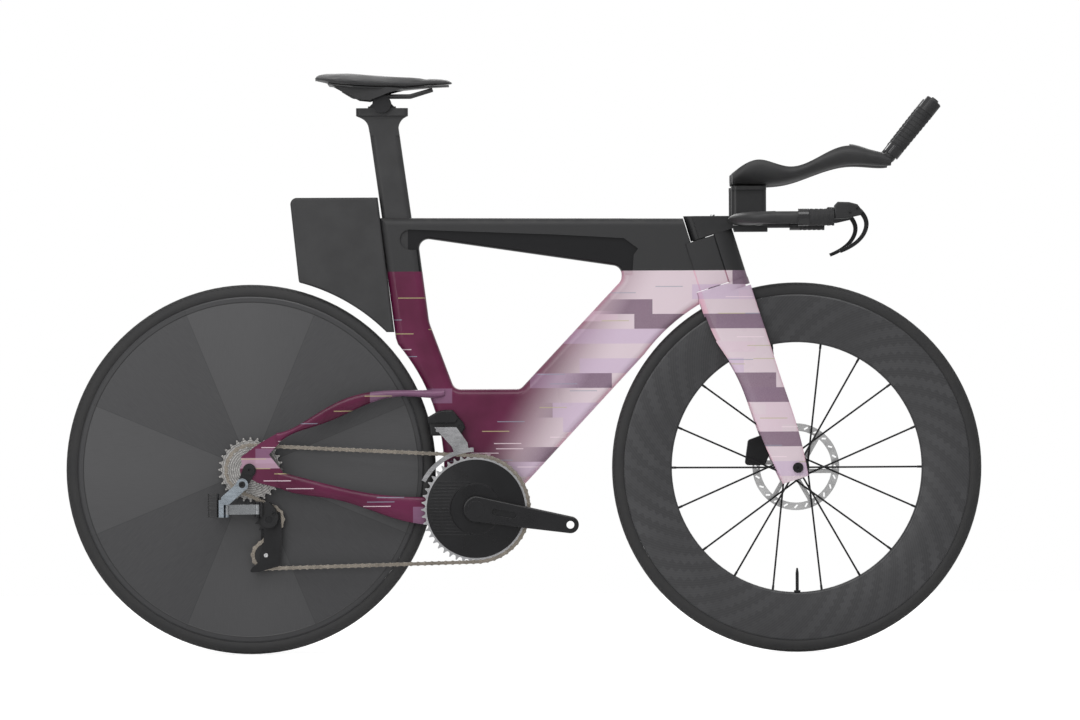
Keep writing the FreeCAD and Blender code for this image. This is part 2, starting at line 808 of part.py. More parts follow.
def make_hub(axle, half_length, flanges, seat_level):
    inner = hub_axle_radius + fit
    end = half_length - end_cap_width - gap
    low, high = flanges
    profile = [(inner, -end), (end_cap_radius + thin, -end), (hub_radius, low - flange_thick * 2),
               (flange_radius, low - flange_thick), (flange_radius, low), (hub_radius, low + flange_thick * 2),
               (hub_radius, high - flange_thick * 2), (flange_radius, high), (flange_radius, high + flange_thick),
               (rotor_seat_radius, high + flange_thick * 2), (rotor_seat_radius, seat_level),
               (rotor_seat_radius, end), (inner, end)]
    return turned(profile, axle)


def make_hub_axle(axle, half_length):
    face = half_length - fit
    inner = axle_radius + fit
    cap = half_length - end_cap_width
    return turned([(inner, -face), (end_cap_radius, -face), (end_cap_radius, -cap), (hub_axle_radius, -cap),
                   (hub_axle_radius, cap), (end_cap_radius, cap), (end_cap_radius, face), (inner, face)], axle)


def make_rotor(axle, level):
    half = rotor_thick / 2
    low, high = level - half, level + half
    band_inner = rotor_radius - rotor_band
    carrier = rotor_seat_radius + rotor_carrier
    body = ring(axle, rotor_radius, band_inner, low, high)
    body = body.fuse(ring(axle, carrier, rotor_seat_radius + fit, low, high))
    arm_count = rotor_slots // 4
    for index in range(arm_count):
        arm = Part.makeBox(band_inner - carrier + rotor_carrier, high - low, rotor_arm,
                           V(axle.x + carrier - thin, low, axle.z - rotor_arm * 1.5))
        arm.rotate(axle, across, 360 * index / arm_count)
        body = body.fuse(arm)
    slots = []
    for index in range(rotor_slots):
        slot = Part.makeBox(slot_length, high - low + overrun * 2, slot_width,
                            V(axle.x + rotor_radius - rotor_band / 2 - slot_length / 2, low - overrun,
                              axle.z - slot_width / 2))
        slot.rotate(V(axle.x + rotor_radius - rotor_band / 2, 0, axle.z), across, 45)
        slot.rotate(axle, across, 360 * index / rotor_slots)
        slots.append(slot)
    body = body.cut(Part.makeCompound(slots))
    body = body.cut(drum(axle, rotor_seat_radius + fit, low - overrun, high + overrun))
    return body.removeSplitter()


def make_lock_ring(axle, level, end):
    low = level + rotor_thick / 2 + fit
    return ring(axle, rotor_lock_radius, rotor_seat_radius + fit, low, max(end, low + thin))


front_flanges = (-front_hub_width / 4, front_hub_width / 5)
rear_flanges = (-rear_hub_width / 8, rear_hub_width / 5)
front_rotor_level = front_hub_width / 2 - rotor_from_face
rear_rotor_level = rear_hub_width / 2 - rotor_from_face


def blade(start, end):
    heading = (end - start).normalize()
    flat = across.cross(heading).normalize()
    side = heading.cross(flat)
    corners = [start + flat * (spoke_width * wide / 2) + side * (spoke_thick * deep / 2)
               for wide, deep in spoke_shares]
    return polygon_face(corners).extrude(end - start)


def make_front_spokes(hub, rim):
    spokes = []
    for index in range(spoke_count):
        angle = 2 * math.pi * index / spoke_count
        outward = V(math.cos(angle), 0, math.sin(angle))
        sideways = V(-math.sin(angle), 0, math.cos(angle))
        kind = index % 3
        level = front_flanges[0] - flange_thick / 2 if kind == 0 else front_flanges[1] + flange_thick / 2
        offset = (0, -spoke_offset, spoke_offset)[kind]
        inset = math.sqrt(flange_radius ** 2 - offset ** 2)
        start = front_axle + outward * (inset - flange_thick / 2) + sideways * offset + across * level
        end = front_axle + outward * (rim_inner + thin) + sideways * (offset / 4)
        nipple_start = end + (start - end).normalize() * nipple_length
        spokes.append(blade(start, end).fuse(rod(nipple_start, end, nipple_radius)).cut(rim).cut(hub))
    return Part.makeCompound(spokes)


def make_rear_disc():
    half = rim_width / 2
    hub_half = disc_hub_width / 2
    shoulder = rim_radius - tyre_wall
    bore = hub_radius + fit

    def at(radius, y):
        return V(rear_axle.x + radius, y, rear_axle.z)

    middle = (bore + disc_seam) / 2
    swell = (half + hub_half) / 2 + thin
    edges = [Part.makeLine(at(rim_radius, half - tyre_wall / 2), at(rim_radius, tyre_wall / 2 - half)),
             Part.makeLine(at(rim_radius, tyre_wall / 2 - half), at(shoulder, -half)),
             Part.makeLine(at(shoulder, -half), at(disc_seam, -half)),
             Part.makeLine(at(disc_seam, -half), at(disc_seam - thin, thin / 2 - half)),
             Part.Arc(at(disc_seam - thin, thin / 2 - half), at(middle, -swell), at(bore, -hub_half)).toShape(),
             Part.makeLine(at(bore, -hub_half), at(bore, hub_half)),
             Part.Arc(at(bore, hub_half), at(middle, swell), at(disc_seam - thin, half - thin / 2)).toShape(),
             Part.makeLine(at(disc_seam - thin, half - thin / 2), at(disc_seam, half)),
             Part.makeLine(at(disc_seam, half), at(shoulder, half)),
             Part.makeLine(at(shoulder, half), at(rim_radius, half - tyre_wall / 2))]
    return Part.Face(Part.Wire(edges)).revolve(rear_axle, across, 360)


def make_rear_hub():
    inner = hub_axle_radius + fit
    half = disc_hub_width / 2
    end = rear_hub_width / 2 - end_cap_width - gap
    profile = [(inner, -half - flange_thick), (hub_radius, -half - flange_thick), (hub_radius, half + gap),
               (flange_radius, half + gap), (flange_radius, half + flange_thick), (rotor_seat_radius,
               half + flange_thick * 2), (rotor_seat_radius, end), (inner, end)]
    return turned(profile, rear_axle)


# Sprockets and chain
def pitch_radius(teeth):
    return chain_pitch / (2 * math.sin(math.pi / teeth))


def polar(centre, radius, angle, y=0):
    return V(centre.x + radius * math.cos(angle), y, centre.z + radius * math.sin(angle))


def toothed_face(centre, teeth, phase, tip_rise):
    radius = pitch_radius(teeth)
    seat = roller_radius + roller_gap
    step = 2 * math.pi / teeth
    tip = radius + tip_rise
    tip_half = tooth_tip / 2 / tip
    opening = math.radians(104)
    edges = []
    for index in range(teeth):
        angle = phase + step * index
        middle = polar(centre, radius, angle)
        first = polar(middle, seat, angle - opening)
        last = polar(middle, seat, angle + opening)
        bottom = polar(middle, seat, angle + math.pi)
        rise = polar(centre, tip, angle + step / 2 - tip_half)
        fall = polar(centre, tip, angle + step / 2 + tip_half)
        following = angle + step
        landing = polar(polar(centre, radius, following), seat, following - opening)
        edges += [Part.Arc(first, bottom, last).toShape(), Part.makeLine(last, rise),
                  Part.makeLine(rise, fall), Part.makeLine(fall, landing)]
    return Part.Face(Part.Wire(edges))


def sprocket(centre, teeth, phase, level, bore):
    half = sprocket_thick / 2
    body = slab(toothed_face(centre, teeth, phase, tooth_rise), level - half, level + half)
    return body.cut(drum(centre, bore, level - half - overrun, level + half + overrun))


chain_level = -(rear_hub_width / 2 - cassette_pitch * (cassette_start_share + cassette_teeth.index(driven_teeth)))


def tension_centre(angle):
    return polar(guide_centre, cage_reach, angle)


# The chain runs clockwise seen from the drive side: over the ring, back under it to the
# tension pulley, forward of the guide pulley and up over the driven sprocket.
def chain_circles(cage_angle):
    return [(crank_axis, pitch_radius(ring_teeth), 1), (tension_centre(cage_angle), pitch_radius(pulley_teeth), 1),
            (guide_centre, pitch_radius(pulley_teeth), -1), (rear_axle, pitch_radius(driven_teeth), 1)]


def tangent_points(first, second):
    start, start_radius, start_turn = first
    end, end_radius, end_turn = second
    span = end - start
    heading = math.atan2(span.z, span.x)
    lean = math.asin((start_radius * start_turn - end_radius * end_turn) / span.Length)
    normal = heading - lean + math.pi / 2
    return (polar(start, start_radius * start_turn, normal), polar(end, end_radius * end_turn, normal))


def chain_pieces(cage_angle):
    circles = chain_circles(cage_angle)
    count = len(circles)
    joins = [tangent_points(circles[index], circles[(index + 1) % count]) for index in range(count)]
    pieces = []
    for index in range(count):
        centre, radius, turn = circles[index]
        arrive = joins[index - 1][1]
        leave = joins[index][0]
        start = math.atan2(arrive.z - centre.z, arrive.x - centre.x)
        sweep = (start - math.atan2(leave.z - centre.z, leave.x - centre.x)) * turn % (2 * math.pi)
        pieces.append(("arc", centre, radius, start, turn, sweep * radius))
        pieces.append(("run", leave, joins[index][1], 0, 0, (joins[index][1] - leave).Length))
    return pieces


def path_point(pieces, distance):
    distance %= sum(piece[5] for piece in pieces)
    for index, (kind, origin, extent, start, turn, length) in enumerate(pieces):
        if distance <= length:
            if kind == "arc":
                return polar(origin, extent, start - turn * distance / extent), index
            return origin + (extent - origin) * (distance / length), index
        distance -= length
    return path_point(pieces, 0)


def next_pin(pieces, distance):
    here = path_point(pieces, distance)[0]
    low = distance + chain_pitch / 2
    high = distance + chain_pitch * 1.5
    for _ in range(48):
        middle = (low + high) / 2
        if (path_point(pieces, middle)[0] - here).Length < chain_pitch:
            low = middle
        else:
            high = middle
    return low


def walk(pieces, links):
    places = [0]
    for _ in range(links):
        places.append(next_pin(pieces, places[-1]))
    return places


def solve_chain():
    def overshoot(angle, links):
        pieces = chain_pieces(angle)
        return walk(pieces, links)[-1] - sum(piece[5] for piece in pieces)

    rest = math.radians(-95)
    loop = sum(piece[5] for piece in chain_pieces(rest))
    links = 2 * round(loop / chain_pitch / 2)
    low = rest - math.radians(40)
    high = rest + math.radians(40)
    rising = overshoot(high, links) > overshoot(low, links)
    for _ in range(40):
        middle = (low + high) / 2
        if (overshoot(middle, links) > 0) == rising:
            high = middle
        else:
            low = middle
    return low, links


cage_angle, link_count = solve_chain()
chain_parts = chain_pieces(cage_angle)
pin_places = walk(chain_parts, link_count)[:-1]
print("chain links", link_count, "cage angle", round(math.degrees(cage_angle), 2))


def sprocket_phase(piece_index):
    centre = chain_parts[piece_index][1]
    for place in pin_places:
        point, index = path_point(chain_parts, place)
        if index == piece_index:
            return math.atan2(point.z - centre.z, point.x - centre.x)


def pin_points():
    lengths = [piece[5] for piece in chain_parts]
    points = []
    for place in pin_places:
        point, index = path_point(chain_parts, place)
        along = place - sum(lengths[:index])
        margin = 2 * chain_pitch
        span = max(lengths[index] - 2 * margin, chain_pitch)
        share = min(max((along - margin) / span, 0), 1)
        level = {0: -ring_level, 1: -ring_level + (chain_level + ring_level) * share,
                 7: chain_level - (chain_level + ring_level) * share}.get(index, chain_level)
        points.append(V(point.x, level, point.z))
    return points


def link_plate(low):
    top = plate_half_height
    waist = V(chain_pitch / 2, 0, plate_waist)
    turn = math.radians(40)
    left = V(top * math.sin(turn), 0, top * math.cos(turn))
    right = V(chain_pitch - left.x, 0, left.z)
    origin = V(0, 0, 0)
    far = V(chain_pitch, 0, 0)

    def below(point):
        return V(point.x, 0, -point.z)

    edges = [Part.Arc(left, waist, right).toShape(), Part.Arc(right, far + V(top, 0, 0), below(right)).toShape(),
             Part.Arc(below(right), below(waist), below(left)).toShape(),
             Part.Arc(below(left), origin - V(top, 0, 0), left).toShape()]
    return slab(Part.Face(Part.Wire(edges)), low, low + plate_thick)


def make_link(outer):
    far = V(chain_pitch, 0, 0)
    level = inner_half_gap + (plate_thick + plate_gap if outer else 0)
    body = link_plate(level).fuse(link_plate(-level - plate_thick))
    reach = level + plate_thick
    if outer:
        for centre in (V(0, 0, 0), far):
            body = body.fuse(drum(centre, pin_radius, -reach - pin_head, reach + pin_head))
        return body
    for centre in (V(0, 0, 0), far):
        body = body.fuse(drum(centre, roller_radius, -level, level))
    for centre in (V(0, 0, 0), far):
        body = body.cut(drum(centre, pin_radius + fit, -reach - overrun, reach + overrun))
    return body


def make_chain():
    points = pin_points()
    kinds = (make_link(False), make_link(True))
    links = []
    for index, start in enumerate(points):
        end = points[(index + 1) % len(points)]
        heading = math.degrees(math.atan2(end.z - start.z, end.x - start.x))
        place = FreeCAD.Placement(V(start.x, (start.y + end.y) / 2, start.z), FreeCAD.Rotation(across, -heading))
        link = kinds[index % 2].copy()
        link.Placement = place
        links.append(link)
    return Part.makeCompound(links)


def make_chainring():
    half = sprocket_thick / 2
    radius = pitch_radius(ring_teeth)
    body = slab(toothed_face(crank_axis, ring_teeth, sprocket_phase(0), tooth_rise), -ring_level - half,
                half - ring_level)
    body = body.fuse(drum(crank_axis, radius - ring_band / 2, -ring_level - half - thin, half - ring_level))
    return body.cut(drum(crank_axis, crank_hub_radius + fit, -ring_level * 2, 0)).removeSplitter()


def make_inner_chainring():
    level = ring_spacing - ring_level
    radius = pitch_radius(inner_ring_teeth)
    pieces = [sprocket(crank_axis, inner_ring_teeth, 0, level, radius - ring_band)]
    for index in range(ring_posts):
        turn = math.radians(crank_angle) + math.pi * (2 * index + 1) / ring_posts
        pieces.append(drum(polar(crank_axis, radius - ring_band / 2, turn), ring_post_radius,
                           sprocket_thick / 2 - ring_level + fit, level))
    return fuse(pieces)


def make_cassette():
    cogs = []
    for index, teeth in enumerate(cassette_teeth):
        level = -(rear_hub_width / 2 - cassette_pitch * (cassette_start_share + index))
        phase = sprocket_phase(6) if teeth == driven_teeth else math.pi / teeth * index
        cogs.append(sprocket(rear_axle, teeth, phase, level, freehub_radius + fit))
    return cogs


def make_freehub_body():
    low = -(rear_hub_width / 2 - end_cap_width - gap)
    high = -disc_hub_width / 2 - flange_thick - gap
    body = ring(rear_axle, freehub_radius, hub_axle_radius + fit, low, high)
    spacers = []
    for index in range(len(cassette_teeth) - 1):
        level = -(rear_hub_width / 2 - cassette_pitch * (cassette_start_share + index)) + sprocket_thick / 2
        spacers.append(ring(rear_axle, freehub_radius + thin, freehub_radius - thin, level + fit,
                            level + cassette_pitch - sprocket_thick - fit))
    lock_top = -(rear_hub_width / 2 - cassette_pitch * cassette_start_share) - sprocket_thick / 2 - fit
    spacers.append(ring(rear_axle, freehub_radius + thin, freehub_radius - thin, lock_top - lock_ring_thick / 2,
                        lock_top))
    return fuse([body] + spacers)


# Cranks and ring cover
def crank_profile(turn):
    angle = math.radians(crank_angle) + turn
    tip = polar(crank_axis, crank_length, angle)
    lean = math.asin((crank_hub_radius - crank_tip_radius) / crank_length)
    upper = angle + math.pi / 2 - lean
    lower = angle - math.pi / 2 + lean
    edges = [Part.makeLine(polar(crank_axis, crank_hub_radius, upper), polar(tip, crank_tip_radius, upper)),
             Part.Arc(polar(tip, crank_tip_radius, upper), polar(tip, crank_tip_radius, angle),
                      polar(tip, crank_tip_radius, lower)).toShape(),
             Part.makeLine(polar(tip, crank_tip_radius, lower), polar(crank_axis, crank_hub_radius, lower)),
             Part.Arc(polar(crank_axis, crank_hub_radius, lower),
                      polar(crank_axis, crank_hub_radius, angle + math.pi),
                      polar(crank_axis, crank_hub_radius, upper)).toShape()]
    return Part.Face(Part.Wire(edges)), tip, angle


def crank_blank(turn, side):
    face, tip, angle = crank_profile(turn)
    low, high = sorted((side * crank_inner, side * (crank_inner + crank_thick)))
    body = slab(face, low, high)
    outer = side * (crank_inner + crank_thick)
    rim = [edge for edge in body.Edges if abs(edge.CenterOfMass.y - outer) < fit]
    body = body.makeFillet(crank_edge, rim)
    body = body.cut(drum(tip, pedal_hole_radius, low - overrun, high + overrun))
    start = polar(crank_axis, crank_length * window_share, angle)
    end = polar(start, window_length, angle)
    for place in (start, end):
        cut_low, cut_high = sorted((outer - side * window_depth, outer + side * overrun))
        body = body.cut(drum(place, window_width / 2, cut_low, cut_high))
    half = V(-math.sin(angle), 0, math.cos(angle)) * (window_width / 2)
    face = polygon_face([start + half, start - half, end - half, end + half])
    return body.cut(slab(face, *sorted((outer - side * window_depth, outer + side * overrun))))


def make_crank_arm_right():
    outer = -crank_inner - crank_thick
    foot = -bb_shell_width / 2 - bb_cup_lip - gap
    spindle = drum(crank_axis, spindle_radius, foot, crank_inner + crank_thick / 2)
    boss = drum(crank_axis, crank_hub_radius, -crank_inner - thin, foot)
    cap = drum(crank_axis, crank_cap_radius, outer - thin, outer + thin)
    return Part.makeCompound([fuse([crank_blank(0, -1), boss, cap]), spindle])


def make_crank_arm_left():
    outer = crank_inner + crank_thick
    boss = drum(crank_axis, crank_hub_radius, bb_shell_width / 2 + bb_cup_lip + gap, crank_inner + thin)
    cap = drum(crank_axis, crank_cap_radius, outer - thin, outer + thin)
    body = fuse([crank_blank(math.pi, 1), boss, cap])
    return body.cut(drum(crank_axis, spindle_radius + fit, 0, crank_inner + crank_thick / 2 + fit))


def make_chainring_cover():
    back = -ring_level - sprocket_thick / 2 - thin - fit
    front = back - ring_cover_thick
    bore = crank_hub_radius + fit
    profile = [(bore, back), (cover_radius, back), (cover_radius, back - thin),
               (ring_cover_boss + ring_cover_rise, front), (ring_cover_boss, front - ring_cover_rise),
               (bore, front - ring_cover_rise)]
    body = turned(profile, crank_axis)
    slope = (ring_cover_thick - thin) / (cover_radius - ring_cover_boss)
    ribs = []
    for index in range(rib_count):
        height = (index - (rib_count - 1) / 2) * rib_pitch
        outer = math.sqrt(max((cover_radius - rib_inset) ** 2 - height ** 2, 0))
        inner = math.sqrt(max((ring_cover_boss + rib_inset) ** 2 - height ** 2, 0))
        start = V(crank_axis.x - outer, 0, crank_axis.z + height)
        end = V(crank_axis.x - max(inner, rib_pitch), 0, crank_axis.z + height)
        points = []
        for place in (start, end):
            reach = max((place - crank_axis).Length, ring_cover_boss)
            points.append(V(place.x, front + slope * (reach - ring_cover_boss) - rib_rise, place.z))
        points += [V(end.x, back - thin / 2, end.z), V(start.x, back - thin / 2, start.z)]
        rib = polygon_face(points).extrude(V(0, 0, rib_width))
        rib.translate(V(0, 0, -rib_width / 2))
        ribs.append(rib)
    return fuse([body] + ribs)


# Rear derailleur
def eye_link(start, end, low, high, eye, thick):
    heading = (end - start).normalize()
    side = V(-heading.y, heading.x, 0) * (thick / 2)
    bar = polygon_face([start + side, end + side, end - side, start - side]).extrude(V(0, 0, high - low))
    bar.translate(V(0, 0, low))
    for place in (start, end):
        bar = bar.fuse(Part.makeCylinder(eye, high - low, V(place.x, place.y, low)))
    for place in (start, end):
        bar = bar.cut(Part.makeCylinder(link_pin_radius + fit, high - low + overrun * 2,
                                        V(place.x, place.y, low - overrun)))
    return bar.removeSplitter()


link_offset = V(0, link_spacing, 0)
lower_axis_level = chain_level - cage_half_gap - cage_thick


def make_outer_link():
    return eye_link(outer_start, outer_end, link_low, link_high, link_eye, link_thick)


def make_inner_link():
    return eye_link(outer_start + link_offset, outer_end + link_offset, link_low, link_high, link_eye, link_thick)


def clevis(places, low, high, half_x):
    levels = ((low - link_thick - gap, low - gap), (high + gap, high + link_thick + gap))
    body = None
    for bottom, top in levels:
        first, second = places
        plate = Part.makeBox(half_x * 2, second.y - first.y, top - bottom, V(first.x - half_x, first.y, bottom))
        for place in places:
            plate = plate.fuse(Part.makeCylinder(half_x, top - bottom, V(place.x, place.y, bottom)))
        body = plate if body is None else body.fuse(plate)
    for place in places:
        pin = Part.makeCylinder(link_pin_radius, high - low + 2 * link_thick + 2 * gap,
                                V(place.x, place.y, low - link_thick - gap))
        body = body.fuse(pin)
    return body


def make_derailleur_knuckle():
    places = (outer_start, outer_start + link_offset)
    body = clevis(places, link_low, link_high, link_eye)
    bolt = hanger_bolt
    face = -(rear_hub_width / 2 + dropout_thick + hanger_thick + fit * 2)
    back = face - knuckle_radius * knuckle_depth_share
    top = link_high + link_thick + gap
    arm = [V(bolt.x, 0, bolt.z + knuckle_radius), V(bolt.x + knuckle_radius, 0, bolt.z - knuckle_radius / 2),
           V(outer_start.x + link_eye, 0, top - link_thick), V(outer_start.x - link_eye * 2, 0, top - link_thick),
           V(outer_start.x - link_eye * 2, 0, top + link_thick * 2)]
    body = body.fuse(slab(polygon_face(arm), back, face)).fuse(drum(bolt, knuckle_radius, back, face))
    stem = drum(bolt, axle_radius, face - overrun, face + hanger_thick)
    spine = Part.makeBox(link_eye * 2, face - back, top - link_low + link_thick * 2,
                         V(outer_start.x - link_eye * 3, back, link_low - link_thick - gap))
    return fuse([body, stem, spine])


def make_derailleur_battery():
    face = outer_start.x - link_eye * 3 - fit
    middle = outer_start.y + link_spacing / 4
    box = Part.makeBox(battery_length, battery_width, battery_height,
                       V(face - battery_length, middle - battery_width / 2, link_low - link_thick))
    upright = [edge for edge in box.Edges if abs(edge.Vertexes[0].Z - edge.Vertexes[-1].Z) > overrun]
    return box.makeFillet(link_thick, upright)


def make_lower_knuckle():
    places = (outer_end, outer_end + link_offset)
    body = clevis(places, link_low, link_high, link_eye)
    high = lower_axis_level - gap
    low = high - lower_knuckle_length
    barrel = drum(guide_centre, lower_knuckle_radius, low, high)
    plate_low = link_low - link_thick - gap
    bridge = Part.makeBox(guide_centre.x - outer_end.x, high - low, link_thick,
                          V(outer_end.x, low, plate_low))
    spine = Part.makeBox(link_eye, link_spacing, link_high - plate_low + link_thick,
                         V(outer_end.x + link_eye + gap, outer_end.y, plate_low))
    top_bar = Part.makeBox(link_eye * 2, link_spacing, link_thick, V(outer_end.x, outer_end.y, link_high + gap))
    points = [guide_centre + V(share[0], 0, share[1]) * lower_knuckle_radius for share in lower_shell_shares]
    shell = slab(rounded_face(points, [lower_shell_edge] * len(points)), low, high)
    rim = [edge for edge in shell.Edges if abs(edge.CenterOfMass.y - low) < fit]
    shell = shell.makeFillet(lower_shell_edge / 2, rim)
    body = fuse([body, barrel, bridge, spine, top_bar, shell])
    return body.cut(drum(guide_centre, axle_radius + fit, low - overrun, high + overrun))


def cage_plate(low, high):
    tip = tension_centre(cage_angle)
    heading = (tip - guide_centre).normalize()
    side = V(-heading.z, 0, heading.x)
    bow = side * (cage_guide_radius / 2)
    points = [guide_centre + side * cage_guide_radius, guide_centre - side * cage_guide_radius,
              tip - side * cage_tip_radius, tip + side * cage_tip_radius]
    body = slab(polygon_face(points), low, high)
    body = body.fuse(drum(guide_centre, cage_guide_radius, low, high)).fuse(drum(tip, cage_tip_radius, low, high))
    middle = (guide_centre + tip) * 0.5
    body = body.cut(drum(middle - bow / 2, cage_tip_radius * cage_window_share, low - overrun, high + overrun))
    return body.removeSplitter()


def outer_cage_plate(low, high):
    tip = tension_centre(cage_angle)
    heading = (tip - guide_centre).normalize()
    side = V(-heading.z, 0, heading.x)
    points = [guide_centre + (heading * share[0] + side * share[1]) * cage_reach for share in cage_shares]
    body = slab(rounded_face(points, [cage_corner] * len(points)), low, high)
    body = body.fuse(drum(guide_centre, cage_guide_radius, low, high)).fuse(drum(tip, cage_tip_radius, low, high))
    return body.removeSplitter()


def make_derailleur_cage():
    inner = cage_plate(chain_level + cage_half_gap, chain_level + cage_half_gap + cage_thick)
    outer = outer_cage_plate(lower_axis_level, lower_axis_level + cage_thick)
    body = inner.fuse(outer)
    for place in (guide_centre, tension_centre(cage_angle)):
        body = body.fuse(drum(place, pulley_bore - fit, lower_axis_level, chain_level + cage_half_gap + cage_thick))
    axle = drum(guide_centre, axle_radius, lower_axis_level - lower_knuckle_length + thin, lower_axis_level)
    return fuse([body, axle])


def make_pulley(centre, piece_index):
    body = sprocket(centre, pulley_teeth, sprocket_phase(piece_index), chain_level, pulley_bore)
    half = cage_half_gap - gap
    hub = ring(centre, pulley_bore * 2, pulley_bore, chain_level - half, chain_level + half)
    return body.fuse(hub).removeSplitter()


def make_derailleur_hanger():
    bolt = hanger_bolt
    low = -(rear_hub_width / 2 + dropout_thick + fit + hanger_thick)
    high = low + hanger_thick
    span = (bolt - rear_axle).normalize()
    side = V(-span.z, 0, span.x)
    root = dropout_radius * hanger_root_share
    face = polygon_face([rear_axle + side * root, rear_axle - side * root, bolt - side * hanger_radius,
                         bolt + side * hanger_radius])
    body = slab(face, low, high).fuse(drum(rear_axle, root, low, high))
    body = body.fuse(drum(bolt, hanger_radius, low, high))
    for place in (bolt, rear_axle):
        body = body.cut(drum(place, axle_radius + fit, low - overrun, high + overrun))
    return body.removeSplitter()


# Front derailleur
def make_front_derailleur_body():
    low = -frame_width / 2 - fit - shifter_depth
    high = -frame_width / 2 - fit
    body = slab(polygon_face(outline(shifter_shares, half_base, frame_height)), low, high)
    edges = [edge for edge in body.Edges if abs(edge.CenterOfMass.y - low) < fit]
    body = body.makeFillet(shifter_edge, edges)
    cell = slab(polygon_face(outline(shifter_battery_shares, half_base, frame_height)), low - shifter_battery_rise,
                low + shifter_edge)
    rim = [edge for edge in cell.Edges if abs(edge.CenterOfMass.y - low + shifter_battery_rise) < fit]
    body = body.fuse(cell.makeFillet(shifter_edge / 2, rim))
    for place in slide_places():
        body = body.cut(drum(place, slide_pin_radius + fit, low - overrun, high + overrun))
    return body


def slide_places():
    middle = V((shifter_shares[7][0] + shifter_shares[6][0]) / 2 * half_base, 0, shifter_shares[6][1] * frame_height)
    drop = slide_pin_radius * 3
    return [middle + V(-drop * slide_spread_share, 0, drop), middle + V(drop * slide_spread_share, 0, drop)]


def make_front_derailleur_cage():
    plates = []
    for side in (-1, 1):
        low = -ring_level + side * guide_half_gap - guide_thick / 2
        arc = ring(crank_axis, guide_outer, guide_inner, low, low + guide_thick)
        far = guide_outer * 2
        wedge = polygon_face([crank_axis, polar(crank_axis, far, math.radians(guide_start)),
                              polar(crank_axis, far, math.radians((guide_start + guide_end) / 2)),
                              polar(crank_axis, far, math.radians(guide_end))])
        plates.append(arc.common(slab(wedge, low - overrun, low + guide_thick + overrun)))
    outer_level = -ring_level - guide_half_gap - guide_thick / 2
    inner_level = -ring_level + guide_half_gap + guide_thick / 2
    tab_top = guide_outer + guide_tab
    tab = [polar(crank_axis, radius, math.radians(angle)) for radius, angle in (
        (guide_outer - thin, guide_tab_start), (tab_top, guide_tab_start), (tab_top, guide_tab_end),
        (guide_outer - thin, guide_tab_end))]
    bar = [polar(crank_axis, radius, math.radians(angle)) for radius, angle in (
        (tab_top - guide_thick * 2, guide_tab_start), (tab_top, guide_tab_start), (tab_top, guide_tab_end),
        (tab_top - guide_thick * 2, guide_tab_end))]
    for low in (outer_level, inner_level - guide_thick):
        plates.append(slab(polygon_face(tab), low, low + guide_thick))
    plates.append(slab(polygon_face(bar), outer_level, inner_level))
    top = slide_places()[0].z + slide_pin_radius * 2
    neck = polygon_face([tab[2], V(slide_places()[0].x - slide_pin_radius * 2, 0, top),
                         V(slide_places()[1].x + slide_pin_radius * 2, 0, top), tab[1]])
    neck_low = -frame_width / 2 - fit - shifter_depth - gap - guide_travel - guide_thick
    plates.append(slab(neck, neck_low, neck_low + guide_thick))
    for place in slide_places():
        plates.append(drum(place, slide_pin_radius, neck_low, -frame_width / 2 - guide_travel - gap * 2))
    return fuse(plates)


# Storage box and lid
def box_face(inset):
    points = outline(box_shares, half_base, frame_height)
    face = rounded_face(points, [box_corner, 0, 0, 0, box_corner])
    face = face.cut(Part.Face(Part.Wire([Part.makeCircle(wheel_radius + tyre_gap, rear_axle, across)])))
    face = face.Faces[0]
    return face.makeOffset2D(-inset).Faces[0] if inset else face


def make_storage_box(frame):
    half = box_width / 2
    body = soften(slab(box_face(0), -half, half), half, box_edge)
    body = body.cut(slab(box_face(box_wall), box_wall - half, half - box_wall))
    top = box_shares[0][1] * frame_height
    low, high = (share * half_base for share in lid_shares)
    mouth = half - box_edge - thin
    body = body.cut(Part.makeBox(high - low, mouth * 2, lid_thick * 2, V(low, -mouth, top - lid_thick)))
    ear = lid_pin()
    body = body.cut(Part.makeCylinder(lid_pin_radius + fit, mouth * 2 + box_wall * 2, V(ear.x, -mouth - box_wall, ear.z),
                                      across))
    return body.cut(frame)


def lid_pin():
    top = box_shares[0][1] * frame_height
    return V(lid_shares[1] * half_base - lid_thick, 0, top - lid_thick / 2)


def make_storage_lid():
    top = box_shares[0][1] * frame_height
    low, high = (share * half_base for share in lid_shares)
    half = box_width / 2 - box_edge - thin - gap
    pin = lid_pin()
    plate = Part.makeBox(pin.x - low - gap, half * 2, lid_thick - gap / 2, V(low + gap, -half, top - lid_thick + gap / 2))
    barrel = Part.makeCylinder(lid_thick / 2 - gap / 4, half * 2, V(pin.x, -half, pin.z), across)
    pivot = Part.makeCylinder(lid_pin_radius, half * 2 + box_wall, V(pin.x, -half - box_wall / 2, pin.z), across)
    notch = Part.makeCylinder(box_wall * 2, lid_thick * 4, V(low - thin, 0, top - lid_thick * 2))
    return fuse([plate, barrel, pivot]).cut(notch)


def make_top_tube_covers():
    return Part.makeCompound([top_cover(shares, 0) for shares in (seat_cover_shares, port_cover_shares)])


